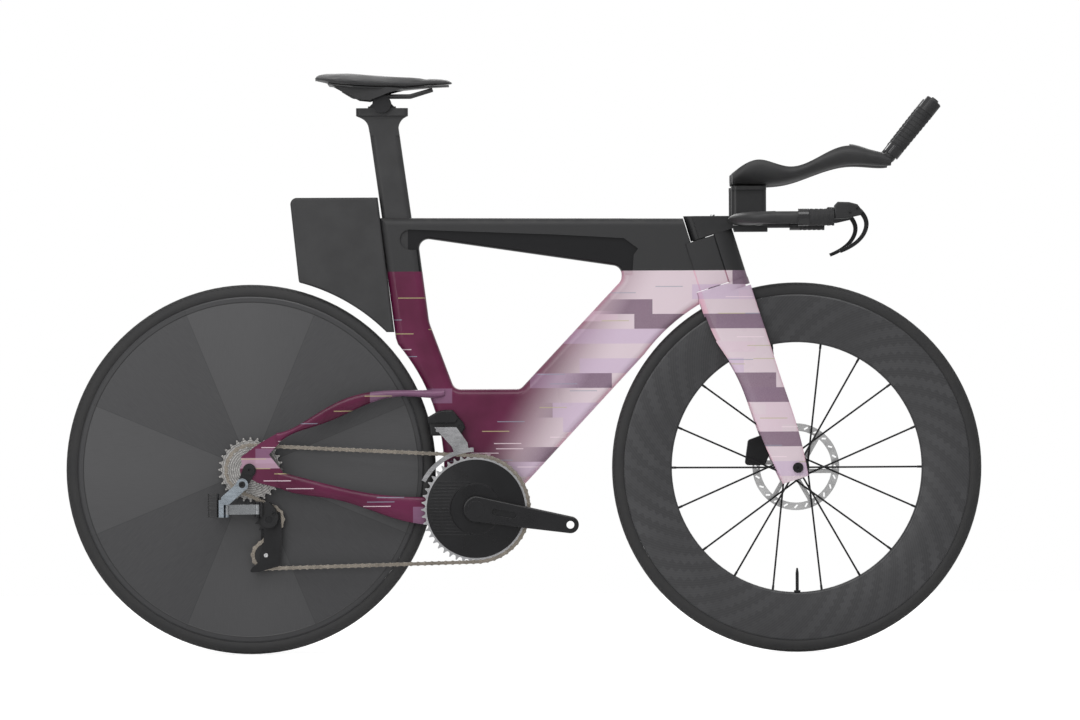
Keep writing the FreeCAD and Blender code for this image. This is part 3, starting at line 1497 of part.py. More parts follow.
# Seat post, carriage, clamp and saddle
def make_seatpost():
    body = post_blade(post_bottom, head_height + head_thick / 2, 0)
    centre = post_at(head_height)
    half = head_length / 2
    foot = post_at(post_height)
    points = [V(foot.x - post_depth / 2, 0, foot.z), V(centre.x - post_depth / 2, 0, head_height - flare_drop),
              V(centre.x - half, 0, head_height), V(centre.x + half, 0, head_height),
              V(centre.x + post_depth / 2, 0, head_height - flare_drop), V(foot.x + post_depth / 2, 0, foot.z)]
    neck = slab(rounded_face(points, [0, flare_radius, 0, 0, flare_radius, 0]), -post_width / 2, post_width / 2)
    track = Part.makeBox(head_length, head_width, head_thick, V(centre.x - half, -head_width / 2, head_height))
    upright = [edge for edge in track.Edges if abs(edge.Vertexes[0].Z - edge.Vertexes[-1].Z) > overrun]
    track = track.makeFillet(head_width / 4, upright)
    slot_half = head_width * slot_width_share / 2
    slot = Part.makeBox(head_length * slot_length_share, slot_half * 2, head_thick,
                        V(centre.x - half * slot_length_share, -slot_half, head_height + head_thick / 2))
    return fuse([body, neck, track]).cut(slot)


def clamp_centre():
    return V(post_at(head_height).x, 0, clamp_height)


def make_saddle_carriage():
    centre = clamp_centre()
    low = head_height + head_thick + gap / 4
    half = clamp_length / 2
    base = Part.makeBox(carriage_length, head_width, carriage_wall / 2, V(centre.x - carriage_length / 2,
                        -head_width / 2, low))
    ears = []
    for side in (-1, 1):
        level = sorted((side * head_width / 2, side * (head_width / 2 - carriage_wall)))
        face = polygon_face([V(centre.x - carriage_length / 2, 0, low), V(centre.x + carriage_length / 2, 0, low),
                             V(centre.x + carriage_wall * 2, 0, centre.z + carriage_wall),
                             V(centre.x - carriage_wall * 2, 0, centre.z + carriage_wall)])
        ears.append(slab(face, *level))
    body = fuse([base] + ears)
    return body.cut(drum(centre, clamp_pin_radius + fit, -half, half))


def make_saddle_clamp():
    centre = clamp_centre()
    inner = head_width / 2 + gap
    body = drum(centre, clamp_pin_radius, -clamp_length / 2, clamp_length / 2)
    for side in (-1, 1):
        level = sorted((side * inner, side * clamp_length / 2))
        cheek = drum(centre, clamp_radius, *level)
        rail = V(centre.x, side * rail_spread, rail_height)
        body = body.fuse(cheek).cut(rod(rail - V(clamp_radius * 2, 0, 0), rail + V(clamp_radius * 2, 0, 0),
                                        rail_radius + fit))
    return body.removeSplitter()


def saddle_level(share):
    return rail_height + saddle_stack * share


def rail_level(share):
    return max(saddle_level(share) - saddle_base_thick - rail_radius - gap * 2, rail_height)


def make_saddle_rails():
    rails = []
    for side in (-1, 1):
        points = [V(saddle_nose - share[0] * saddle_length, side * share[1] * rail_spread, rail_level(share[2]))
                  for share in rail_shares]
        rails.append(tube_along(bent_path(points, rail_radius * 4), rail_radius))
    return Part.makeCompound(rails)


def saddle_section(share):
    x_share, half_share, top_share, edge_share, low_share = share
    x = saddle_nose - x_share * saddle_length
    half = half_share * saddle_half_width
    top = saddle_level(top_share)
    edge = saddle_level(edge_share)
    low = saddle_level(low_share)
    tuck = half * saddle_tuck_share
    left = V(x, -half, edge)
    right = V(x, half, edge)
    edges = [Part.Arc(left, V(x, 0, top), right).toShape(),
             Part.Arc(right, V(x, half * saddle_cheek_share, (edge + low) / 2), V(x, tuck, low)).toShape(),
             Part.makeLine(V(x, tuck, low), V(x, -tuck, low)),
             Part.Arc(V(x, -tuck, low), V(x, -half * saddle_cheek_share, (edge + low) / 2), left).toShape()]
    return Part.Wire(edges)


def make_saddle_cover():
    body = Part.makeLoft([saddle_section(share) for share in saddle_shares], True, False)
    start = saddle_nose - saddle_length * channel_start_share
    level = saddle_height + channel_width / 2 - channel_depth * 3 / 2
    groove = Part.makeCylinder(channel_width / 2, saddle_length * channel_length_share, V(start, 0, level),
                               V(1, 0, -channel_slope_share))
    return body.cut(groove)


def make_saddle_shell():
    sections = []
    for share in saddle_shares[1:7]:
        x = saddle_nose - share[0] * saddle_length
        half = share[1] * saddle_half_width * base_width_share
        low = saddle_level(share[4]) - gap
        points = [V(x, -half, low), V(x, half, low), V(x, half, low - saddle_base_thick),
                  V(x, -half, low - saddle_base_thick)]
        sections.append(Part.makePolygon(points + points[:1]))
    body = Part.makeLoft(sections, True, True)
    points = [V(saddle_nose - share[0] * saddle_length, 0, saddle_level(share[1])) for share in skirt_shares]
    level = saddle_half_width * skirt_share
    skirt = slab(polygon_face(points), level - saddle_base_thick, level)
    return body.fuse(skirt).fuse(flip(skirt)).cut(make_saddle_cover()).removeSplitter()


# Through axles
def make_thru_axle(axle, half_length, low_cap, high_end):
    body = drum(axle, axle_radius, -half_length - low_cap, half_length + high_end)
    head = drum(axle, axle_cap_radius, -half_length - low_cap - axle_cap_thick, -half_length - low_cap)
    socket = drum(axle, axle_radius / 2, -half_length - low_cap - axle_cap_thick * 2, -half_length - low_cap + thin)
    return body.fuse(head).removeSplitter().cut(socket)


# Brake calipers and pads
def make_caliper(axle, shares, level, carrier):
    points = [V(axle.x + share[0] * rotor_radius, 0, axle.z + share[1] * rotor_radius) for share in shares]
    low = level - caliper_width / 2
    high = level + caliper_width / 2
    body = slab(rounded_face(points, caliper_corner), low, high)
    body = body.cut(drum(axle, rotor_radius + run_gap * 2, level - caliper_slot / 2 - pad_thick,
                         level + caliper_slot / 2 + pad_thick))
    return body.cut(carrier)


def make_pad(axle, angle, level, side):
    inner = level + side * (rotor_thick / 2 + pad_gap)
    low, high = sorted((inner, inner + side * (pad_thick + thin)))
    middle = rotor_radius - rotor_band / 2
    plate = Part.makeBox(pad_height, high - low, pad_length, V(axle.x + middle - pad_height / 2, low,
                         axle.z - pad_length / 2))
    plate.rotate(axle, across, -angle)
    return plate


# Base bar, risers and extension arms
def make_base_bar():
    up = V(0, 0, 1)
    wing = Part.Face(oval(V(bar_centre_x, -bar_wing_half, bar_height), V(1, 0, 0), up, bar_chord / 2, bar_radius))
    body = wing.extrude(across * (bar_wing_half * 2))
    bend = bar_bend
    slant = V(1, -1, 0).normalize()
    turn_place = V(bar_centre_x + bend * elbow_shares[0], bar_wing_half + bend * elbow_shares[1], bar_height)
    handle_start = V(bar_centre_x + bend * elbow_shares[3], bar_half_width, bar_height)
    sections = [oval(V(bar_centre_x, bar_wing_half, bar_height), V(1, 0, 0), up, bar_chord / 2, bar_radius),
                oval(turn_place, slant, up, bar_chord * elbow_shares[2], bar_radius),
                oval(handle_start, V(0, -1, 0), up, bar_radius + bar_step, bar_radius + bar_step)]
    elbow = Part.makeLoft(sections, True, False)
    handle = rod(handle_start, V(bar_tip_x, bar_half_width, bar_height), bar_radius)
    for piece in (elbow, handle):
        body = body.fuse(piece).fuse(flip(piece))
    return body.removeSplitter()


def make_arm_risers(bar):
    risers = []
    front = bar_centre_x - bar_chord / 2 + riser_corner / 2
    for side in (-1, 1):
        y_low = side * riser_spread - riser_width / 2
        points = [V(front, y_low, 0), V(front + riser_length, y_low, 0),
                  V(front + riser_length, y_low + riser_width, 0), V(front, y_low + riser_width, 0)]
        column = rounded_face(points, riser_corner).extrude(V(0, 0, riser_top - riser_plate - bar_height))
        column.translate(V(0, 0, bar_height))
        plate = [point + V(0, -riser_plate if index < 2 else riser_plate, 0) for index, point in enumerate(points)]
        cap = rounded_face(plate, riser_corner).extrude(V(0, 0, riser_plate))
        cap.translate(V(0, 0, riser_top - riser_plate))
        risers.append(column.cut(bar).fuse(cap).removeSplitter())
    return Part.makeCompound(risers)


stick_heading = V(math.cos(math.radians(stick_angle)), 0, math.sin(math.radians(stick_angle)))


def stick_at(distance):
    return V(arm_start_x + arm_length, riser_spread, riser_top + arm_rise * stick_share) + stick_heading * distance


def arm_loft(shares):
    sections = []
    for x_share, low_share, high_share, half_share in shares:
        centre = V(arm_start_x + x_share * arm_length, riser_spread, riser_top + (low_share + high_share) / 2 * arm_rise)
        sections.append(oval(centre, across, V(0, 0, 1), half_share * arm_half_width,
                             (high_share - low_share) / 2 * arm_rise))
    return Part.makeLoft(sections, True, False)


def make_extension_arm():
    body = arm_loft(arm_shares).cut(arm_loft(trough_shares))
    floor_cut = Part.makeBox(arm_length * 2, arm_half_width * 4, arm_rise, V(0, riser_spread - arm_half_width * 2,
                             riser_top + fit - arm_rise))
    core = rod(stick_at(-stick_ring), stick_at(stick_length), stick_radius)
    return body.cut(floor_cut).fuse(core).removeSplitter()


def tape_sleeve(start, end, bore, thick, growth):
    length = (end - start).Length
    turns = max(int(length / tape_turn), 1)
    points = [V(bore + fit, 0, 0)]
    for index in range(turns):
        wall = bore + thick + growth * index / turns
        points.append(V(wall, 0, length * index / turns))
        points.append(V(wall - tape_step, 0, length * (index + 1) / turns))
    points.append(V(bore + fit, 0, length))
    sleeve = polygon_face(points).revolve(V(0, 0, 0), V(0, 0, 1), 360)
    sleeve.Placement = FreeCAD.Placement(start, FreeCAD.Rotation(V(0, 0, 1), end - start))
    return sleeve


def both_sides(shape):
    return Part.makeCompound([shape, flip(shape)])


def bar_at(x):
    return V(x, bar_half_width, bar_height)


def make_bar_tape():
    return both_sides(tape_sleeve(bar_at(bar_ring_x + bar_ring_length + fit), bar_at(bar_tip_x), bar_radius,
                                  tape_thick, 0))


def make_stick_tape():
    return both_sides(tape_sleeve(stick_at(stick_ring + fit), stick_at(stick_length - shifter_cap_length - fit),
                                  stick_radius, tape_thick, tape_step * 2))


def make_tape_rings():
    bar_ring = rod(bar_at(bar_ring_x), bar_at(bar_ring_x + bar_ring_length), bar_radius + tape_thick)
    bar_ring = bar_ring.cut(rod(bar_at(bar_ring_x - overrun), bar_at(bar_tip_x), bar_radius + fit))
    stick_ring_solid = rod(stick_at(0), stick_at(stick_ring), stick_radius + tape_thick)
    stick_ring_solid = stick_ring_solid.cut(rod(stick_at(-overrun), stick_at(stick_length), stick_radius + fit))
    return Part.makeCompound([bar_ring, flip(bar_ring), stick_ring_solid, flip(stick_ring_solid)])


def make_shifter_housing():
    start = stick_at(stick_length - shifter_cap_length)
    end = stick_at(stick_length + button_rise * 2)
    body = rod(start, end, shifter_cap_radius)
    rim = [edge for edge in body.Edges if (edge.CenterOfMass - end).Length < fit]
    body = body.makeFillet(button_rise, rim)
    body = body.cut(rod(start - stick_heading * overrun, stick_at(stick_length + fit), stick_radius + fit))
    return body.cut(rod(stick_at(stick_length), end + stick_heading * overrun, button_radius + fit))


def make_shift_button():
    low = stick_at(stick_length + button_travel + gap)
    high = stick_at(stick_length + button_rise * 3 + gap)
    body = rod(low, high, button_radius)
    rim = [edge for edge in body.Edges if (edge.CenterOfMass - high).Length < fit]
    return body.makeFillet(thin, rim)


# Brake levers


def make_lever_body():
    low = bar_height - bar_radius / 2
    points = [V(bar_tip_x + fit + share[0] * lever_body_length, 0, low + share[1] * lever_body_height)
              for share in lever_body_shares]
    half = lever_body_width / 2
    body = slab(polygon_face(points), bar_half_width - half, bar_half_width + half)
    outer = [edge for edge in body.Edges if abs(abs(edge.CenterOfMass.y - bar_half_width) - half) < fit]
    body = body.makeFillet(lever_thick / 3, outer)
    slot = lever_width / 2 + gap
    corner = V(lever_pivot.x - lever_thick * slot_start_share, bar_half_width - slot,
               lever_pivot.z + lever_thick - lever_body_height)
    body = body.cut(Part.makeBox(lever_body_length, slot * 2, lever_body_height, corner))
    return body.cut(drum(lever_pivot, lever_pin_radius + fit, 0, bar_half_width * 2))


def make_brake_lever():
    points = [lever_pivot + V(share[0], 0, share[1]) * lever_drop for share in lever_blade_shares]
    left = []
    right = []
    for index, point in enumerate(points):
        ahead = points[min(index + 1, len(points) - 1)] - points[max(index - 1, 0)]
        side = V(-ahead.z, 0, ahead.x).normalize() * (lever_thick / 2 * (1 - lever_taper_share * index))
        left.append(point + side)
        right.append(point - side)
    rails = []
    for row in (left, right[::-1]):
        curve = Part.BSplineCurve()
        curve.interpolate(row)
        rails.append(curve.toShape())
    edges = [rails[0], Part.makeLine(left[-1], right[-1]), rails[1], Part.makeLine(right[0], left[0])]
    half = lever_width / 2
    body = slab(Part.Face(Part.Wire(edges)), bar_half_width - half, bar_half_width + half)
    body = body.fuse(drum(lever_pivot, lever_thick / 2 + thin, bar_half_width - half, bar_half_width + half))
    pin = drum(lever_pivot, lever_pin_radius, bar_half_width - lever_body_width / 2, bar_half_width + lever_body_width / 2)
    return body.fuse(pin).removeSplitter()


def build():
    frame = make_frame()
    fork = make_fork()
    front_hub = make_hub(front_axle, front_hub_width / 2, front_flanges, front_rotor_level)
    front_rim = make_front_rim()
    bar = make_base_bar()
    arm = make_extension_arm()
    housing = make_shifter_housing()
    button = make_shift_button()
    lever_body = make_lever_body()
    lever = make_brake_lever()
    front_lock = make_lock_ring(front_axle, front_rotor_level, front_rotor_level + rotor_thick * 2)
    rear_lock = make_lock_ring(rear_axle, rear_rotor_level, rear_rotor_level + rotor_thick * 2)
    return {
        "frame": frame,
        "frame_bearings": Part.makeCompound([make_headset_bearings(), make_bottom_bracket_cups()]),
        "top_tube_covers": make_top_tube_covers(),
        "storage_box": make_storage_box(frame),
        "storage_lid": make_storage_lid(),
        "seatpost": make_seatpost(),
        "saddle_carriage": make_saddle_carriage(),
        "saddle_clamp": make_saddle_clamp(),
        "saddle_rails": make_saddle_rails(),
        "saddle_shell": make_saddle_shell(),
        "saddle_cover": make_saddle_cover(),
        "fork": fork,
        "stem": make_stem().cut(bar),
        "base_bar": bar,
        "arm_risers": make_arm_risers(bar),
        "extension_arms": both_sides(arm),
        "grip_tape": Part.makeCompound([make_bar_tape(), make_stick_tape()]),
        "tape_rings": make_tape_rings(),
        "shifter_housings": both_sides(housing),
        "left_shift_button": button,
        "right_shift_button": flip(button),
        "brake_lever_bodies": both_sides(lever_body),
        "left_brake_lever": lever,
        "right_brake_lever": flip(lever),
        "front_thru_axle": make_thru_axle(front_axle, front_hub_width / 2, blade_thick + thin, blade_thick - thin),
        "front_hub_axle": make_hub_axle(front_axle, front_hub_width / 2),
        "front_caliper": make_caliper(front_axle, caliper_front_shares, front_rotor_level, fork),
        "front_pad_left": make_pad(front_axle, pad_front_angle, front_rotor_level, 1),
        "front_pad_right": make_pad(front_axle, pad_front_angle, front_rotor_level, -1),
        "front_tyre": make_tyre(front_axle),
        "front_rim": front_rim,
        "front_spokes": make_front_spokes(front_hub, front_rim),
        "front_hub": front_hub,
        "front_rotor": Part.makeCompound([make_rotor(front_axle, front_rotor_level), front_lock]),
        "front_valve": make_front_valve(),
        "rear_thru_axle": make_thru_axle(rear_axle, rear_hub_width / 2, dropout_thick + hanger_thick + fit * 3,
                                         dropout_thick),
        "rear_hub_axle": make_hub_axle(rear_axle, rear_hub_width / 2),
        "rear_caliper": make_caliper(rear_axle, caliper_rear_shares, rear_rotor_level, frame),
        "rear_pad_left": make_pad(rear_axle, pad_rear_angle, rear_rotor_level, 1),
        "rear_pad_right": make_pad(rear_axle, pad_rear_angle, rear_rotor_level, -1),
        "rear_tyre": make_tyre(rear_axle),
        "rear_disc": make_rear_disc(),
        "rear_hub": make_rear_hub(),
        "rear_rotor": Part.makeCompound([make_rotor(rear_axle, rear_rotor_level), rear_lock]),
        "cassette": Part.makeCompound(make_cassette() + [make_freehub_body()]),
        "crank_arm_right": make_crank_arm_right(),
        "crank_arm_left": make_crank_arm_left(),
        "chain_rings": Part.makeCompound([make_chainring(), make_inner_chainring()]),
        "chainring_cover": make_chainring_cover(),
        "chain": make_chain(),
        "front_derailleur_body": make_front_derailleur_body(),
        "front_derailleur_cage": make_front_derailleur_cage(),
        "derailleur_hanger": make_derailleur_hanger(),
        "derailleur_knuckle": Part.makeCompound([make_derailleur_knuckle(), make_derailleur_battery()]),
        "derailleur_outer_link": make_outer_link(),
        "derailleur_inner_link": make_inner_link(),
        "derailleur_lower_knuckle": make_lower_knuckle(),
        "derailleur_cage": make_derailleur_cage(),
        "guide_pulley": make_pulley(guide_centre, 4),
        "tension_pulley": make_pulley(tension_centre(cage_angle), 2),
    }


for node, solid in build().items():
    solid.exportStep("parts/" + node + ".step")
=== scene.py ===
import math

import bmesh
import bpy
from mathutils import Matrix, Vector


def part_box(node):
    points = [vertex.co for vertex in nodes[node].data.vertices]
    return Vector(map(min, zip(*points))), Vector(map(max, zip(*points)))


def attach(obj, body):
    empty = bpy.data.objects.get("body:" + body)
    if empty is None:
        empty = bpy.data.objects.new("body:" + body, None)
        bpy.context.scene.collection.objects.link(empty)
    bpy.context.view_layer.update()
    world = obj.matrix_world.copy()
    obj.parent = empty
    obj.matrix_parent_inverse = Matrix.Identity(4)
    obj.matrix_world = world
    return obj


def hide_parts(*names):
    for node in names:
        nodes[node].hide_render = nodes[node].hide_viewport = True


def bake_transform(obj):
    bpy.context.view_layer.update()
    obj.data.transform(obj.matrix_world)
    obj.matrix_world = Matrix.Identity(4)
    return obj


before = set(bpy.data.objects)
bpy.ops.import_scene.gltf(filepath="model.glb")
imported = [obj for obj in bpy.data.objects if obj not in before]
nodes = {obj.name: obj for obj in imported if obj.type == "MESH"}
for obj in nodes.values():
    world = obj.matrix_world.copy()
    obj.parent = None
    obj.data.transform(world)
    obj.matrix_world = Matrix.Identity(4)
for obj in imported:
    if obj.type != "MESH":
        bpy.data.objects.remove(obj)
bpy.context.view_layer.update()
print("frame loaded,", len(nodes), "nodes")


def boxMiddle(name):
    low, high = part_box(name)
    return (Vector(low) + Vector(high)) / 2


def axleOf(name):
    middle = boxMiddle(name)
    return round(middle.x, 4), round(middle.z, 4)


rearAxle = axleOf("rear_tyre")
frontAxle = axleOf("front_tyre")
crankAxle = axleOf("chain_rings")
middleBand = (0.35, 0.65)  # where most noise values lie
wideBand = (0.3, 0.7)


# A small wrapper that keeps node wiring short
class NodeSheet:
    def __init__(self, tree):
        self.tree = tree

    def put(self, socket, value):
        if isinstance(value, bpy.types.NodeSocket):
            self.tree.links.new(value, socket)
        elif hasattr(socket.default_value, "__len__") and not hasattr(value, "__len__"):
            socket.default_value = [value] * len(socket.default_value)
        elif hasattr(value, "__len__") and len(value) == 3 and len(socket.default_value) == 4:
            socket.default_value = (*value, 1)
        else:
            socket.default_value = value

    def add(self, kind, inputs=None, **settings):
        node = self.tree.nodes.new("ShaderNode" + kind)
        for key, value in settings.items():
            setattr(node, key, value)
        for key, value in (inputs or {}).items():
            self.put(node.inputs[key], value)
        return node

    def calc(self, operation, *values, clamp=False):
        node = self.add("Math", dict(enumerate(values)), operation=operation, use_clamp=clamp)
        return node.outputs[0]

    def vec(self, operation, *values):
        node = self.add("VectorMath", dict(enumerate(values)), operation=operation)
        return node.outputs["Value" if operation in ("DOT_PRODUCT", "LENGTH") else "Vector"]

    def spread(self, value, low, high, toLow=0.0, toHigh=1.0, smooth=False):
        kind = "SMOOTHSTEP" if smooth else "LINEAR"
        names = ("Value", "From Min", "From Max", "To Min", "To Max")
        return self.add("MapRange", dict(zip(names, (value, low, high, toLow, toHigh))),
                        interpolation_type=kind).outputs["Result"]

    def mix(self, share, first, second):
        node = self.add("Mix", data_type="RGBA")
        self.put(node.inputs[0], share)
        self.put(node.inputs[6], first)
        self.put(node.inputs[7], second)
        return node.outputs[2]

    def blend(self, share, first, second):
        node = self.add("Mix")
        for index, value in enumerate((share, first, second)):
            self.put(node.inputs[(0, 2, 3)[index]], value)
        return node.outputs[0]

    def steps(self, value, stops):
        node = self.add("ValToRGB", {"Fac": value})
        node.color_ramp.interpolation = "CONSTANT"
        stops = list(stops)
        while len(node.color_ramp.elements) < len(stops):
            node.color_ramp.elements.new(0.5)
        for element, (place, colour) in zip(node.color_ramp.elements, stops):
            element.position = place
            element.color = (*colour, 1)
        return node.outputs["Color"]

    def place(self):
        return self.add("TexCoord").outputs["Object"]

    def axes(self, vector):
        node = self.add("SeparateXYZ", {0: vector})
        return node.outputs[0], node.outputs[1], node.outputs[2]

    def join(self, x, y, z):
        return self.add("CombineXYZ", {0: x, 1: y, 2: z}).outputs[0]

    def noise(self, vector, scale, detail=3.0):
        return self.add("TexNoise", {"Vector": vector, "Scale": scale, "Detail": detail}).outputs["Fac"]

    def chance(self, vector):
        node = self.add("TexWhiteNoise", {"Vector": vector}, noise_dimensions="3D")
        return node.outputs["Value"], node.outputs["Color"]

    def use(self, group, **inputs):
        node = self.add("Group", node_tree=group)
        for key, value in inputs.items():
            self.put(node.inputs[key], value)
        return node.outputs

    def bump(self, height, look, normal=None):
        inputs = {"Height": height, "Strength": look["bumpStrength"], "Distance": look["bumpDepth"]}
        if normal is not None:
            inputs["Normal"] = normal
        return self.add("Bump", inputs).outputs["Normal"]


def newGroup(name, inputs, outputs):
    tree = bpy.data.node_groups.new(name, "ShaderNodeTree")
    kinds = {"value": "NodeSocketFloat", "vector": "NodeSocketVector"}
    for key, (kind, start) in inputs.items():
        tree.interface.new_socket(key, in_out="INPUT", socket_type=kinds[kind]).default_value = start
    for key, kind in outputs.items():
        tree.interface.new_socket(key, in_out="OUTPUT", socket_type=kinds[kind])
    given = tree.nodes.new("NodeGroupInput").outputs
    result = tree.nodes.new("NodeGroupOutput").inputs
    return tree, NodeSheet(tree), given, result


# Numbers that the node groups share
groupLook = {
    "edgeSamples": 4,
    "edgeGain": 3.0,
    "grainDetail": 2.0,
    "cloudDetail": 4.0,
    "dustScale": 60.0,
    "dustDetail": 6.0,
    "dustBand": (0.42, 0.7),
    "dustFacing": (0.2, 1.0),
    "twillRepeat": 4.0,
    "twillOver": 1.5,  # steps below this lie on top
    "twillStart": 4000.0,  # keeps the count of tows above zero
    "rowSalt": 3.7,
    "rowShift": 9.0,
}

# Rounds the look of hard edges and marks them for wear
softEdge, sheet, given, result = newGroup("softEdge", {"radius": ("value", 0.0006)},
                                          {"normal": "vector", "edge": "value"})
rounded = sheet.add("Bevel", {"Radius": given["radius"]}, samples=groupLook["edgeSamples"]).outputs["Normal"]
flat = sheet.add("NewGeometry").outputs["Normal"]
turn = sheet.calc("SUBTRACT", 1.0, sheet.vec("DOT_PRODUCT", rounded, flat))
sheet.put(result["normal"], rounded)
sheet.put(result["edge"], sheet.calc("MULTIPLY", turn, groupLook["edgeGain"], clamp=True))

# Fine uneven surface of moulded and painted pieces
fineGrain, sheet, given, result = newGroup("fineGrain", {"scale": ("value", 900.0), "cloud": ("value", 14.0)},
                                           {"height": "value", "cloudiness": "value"})
spot = sheet.place()
sheet.put(result["height"], sheet.noise(spot, given["scale"], groupLook["grainDetail"]))
sheet.put(result["cloudiness"], sheet.noise(spot, given["cloud"], groupLook["cloudDetail"]))

# Thin pale dust that gathers on what faces up
dustFilm, sheet, given, result = newGroup("dustFilm", {"amount": ("value", 0.1)}, {"dust": "value"})
facing = sheet.axes(sheet.add("NewGeometry").outputs["Normal"])[2]
cloud = sheet.noise(sheet.place(), groupLook["dustScale"], groupLook["dustDetail"])
cloud = sheet.spread(cloud, *groupLook["dustBand"])
lying = sheet.spread(facing, *groupLook["dustFacing"])
sheet.put(result["dust"], sheet.calc("MULTIPLY", sheet.calc("MULTIPLY", cloud, lying), given["amount"]))

# Two by two twill cloth seen through a clear coat
carbonTwill, sheet, given, result = newGroup("carbonTwill", {"along": ("value", 0.0), "over": ("value", 0.0)},
                                             {"shade": "value", "height": "value"})
column = sheet.calc("FLOOR", given["along"])
row = sheet.calc("FLOOR", given["over"])
count = sheet.calc("ADD", sheet.calc("ADD", column, row), groupLook["twillStart"])
step = sheet.calc("MODULO", count, groupLook["twillRepeat"])
above = sheet.calc("LESS_THAN", step, groupLook["twillOver"])
acrossTow = sheet.calc("PINGPONG", given["along"], 0.5)
alongTow = sheet.calc("PINGPONG", given["over"], 0.5)
# shade marks the tows that lie on top, which the rim paints lighter as painted reflection
sheet.put(result["shade"], above)
sheet.put(result["height"], sheet.blend(above, acrossTow, alongTow))

# Random cells of long low bars, one row above the other
barCells, sheet, given, result = newGroup(
    "barCells", {"rowHeight": ("value", 0.02), "barLength": ("value", 0.1), "seed": ("value", 0.0)},
    {"chance": "value", "pick": "value"})
sideX, sideY, sideZ = sheet.axes(sheet.place())
row = sheet.calc("FLOOR", sheet.calc("DIVIDE", sideZ, given["rowHeight"]))
shift = sheet.chance(sheet.join(row, given["seed"], groupLook["rowSalt"]))[0]
shift = sheet.calc("MULTIPLY", shift, groupLook["rowShift"])
along = sheet.calc("ADD", sheet.calc("DIVIDE", sideX, given["barLength"]), shift)
value, colours = sheet.chance(sheet.join(sheet.calc("FLOOR", along), row, given["seed"]))
sheet.put(result["chance"], value)
sheet.put(result["pick"], sheet.add("SeparateColor", {0: colours}).outputs[1])
print("node groups made")


def newFinish(name):
    material = bpy.data.materials.new(name)
    material.use_nodes = True
    shader = material.node_tree.nodes["Principled BSDF"]
    return material, NodeSheet(material.node_tree), shader


# Sets what is passed in, and the constants that the look holds
def setShader(sheet, shader, look, **values):
    constants = {"coat": "Coat Weight", "coatRough": "Coat Roughness", "specular": "Specular IOR Level",
                 "sheen": "Sheen Weight"}
    names = {"colour": "Base Color", "roughness": "Roughness", "metallic": "Metallic", "normal": "Normal",
             **constants}
    for key in constants:
        if key in look:
            values.setdefault(key, look[key])
    for key, value in values.items():
        sheet.put(shader.inputs[names[key]], value)


# Darker and lighter shade of a finish's tone
def shadesOf(look):
    return [tuple(Vector(look["tone"]) * share) for share in look["shades"]]


def roughRange(look):
    return [look["rough"] + swing for swing in look["roughSwing"]]


def polarPlace(sheet, centre):
    x, y, z = sheet.axes(sheet.place())
    dx = sheet.calc("SUBTRACT", x, centre[0])
    dz = sheet.calc("SUBTRACT", z, centre[1])
    square = sheet.calc("ADD", sheet.calc("MULTIPLY", dx, dx), sheet.calc("MULTIPLY", dz, dz))
    return dx, dz, sheet.calc("SQRT", square), sheet.calc("ARCTAN2", dz, dx), y


# Frame and fork paint: maroon that fades to pale pink, crossed by bars, black above the split
paintLook = {
    "splitHeight": 0.7005,
    "fade": (-0.070, 0.085),
    "fadeLean": 0.56,
    "fadeLevel": 0.39,
    # painted edge shading: faces that turn away from the side take the pinker edge tone, standing in for the
    # light falling off at the tubes' edges
    "paintedEdgeShade": (0.55, 0.98),  # how squarely a face must look sideways to be pale
    "deepMaroon": (0.072, 0.006, 0.028),
    "maroon": (0.116, 0.014, 0.052),
    "pinkGrey": (0.640, 0.530, 0.580),
    "paintedEdgePink": (0.740, 0.430, 0.530),
    "lilac": (0.480, 0.350, 0.540),
    "palePatch": (0.640, 0.450, 0.560),
    "barPurple": (0.150, 0.082, 0.135),
    "lineColours": ((0.44, 0.40, 0.20), (0.24, 0.27, 0.34), (0.80, 0.66, 0.72)),
    "lineStops": (0.0, 0.34, 0.67),
    "matt": (0.032, 0.032, 0.033),
    "gloss": (0.012, 0.012, 0.013),
    "flakeAndGlintColour": (0.90, 0.84, 0.88),
    "dustColour": (0.5, 0.47, 0.44),
    "largeBars": dict(rowHeight=0.027, barLength=0.150, seed=11.0),
    "middleBars": dict(rowHeight=0.019, barLength=0.085, seed=16.0),
    "thinLines": dict(rowHeight=0.0016, barLength=0.050, seed=8.0),
    "patchFrom": (0.86, 0.74),  # pairs give the value on maroon and on pink
    "patchShare": (0.22, 0.50),
    "paleFrom": (0.955, 0.90),
    "paleShare": (0.50, 0.30),
    "barFrom": 0.84,
    "barFade": (0.4, 0.9),
    "barShare": 0.88,
    "lineFrom": 0.978,
    "lineShare": 0.7,
    "flakeAndGlintShare": 0.10,
    "dust": 0.04,
    "grain": 1400.0,
    "cloud": 9.0,
    "glossRough": (0.26, 0.34),
    "mattRough": (0.44, 0.52),
    "coat": 0.12,
    "coatRough": 0.08,
    "specular": 0.2,
    "bumpStrength": 0.05,
    "bumpDepth": 0.0002,
    "scoopFloor": 0.0192,
    "scoopMiddle": 0.002,
    "scoopReach": 0.213,
    "scoopTop": 0.779,
    "scoopRough": 0.12,
}


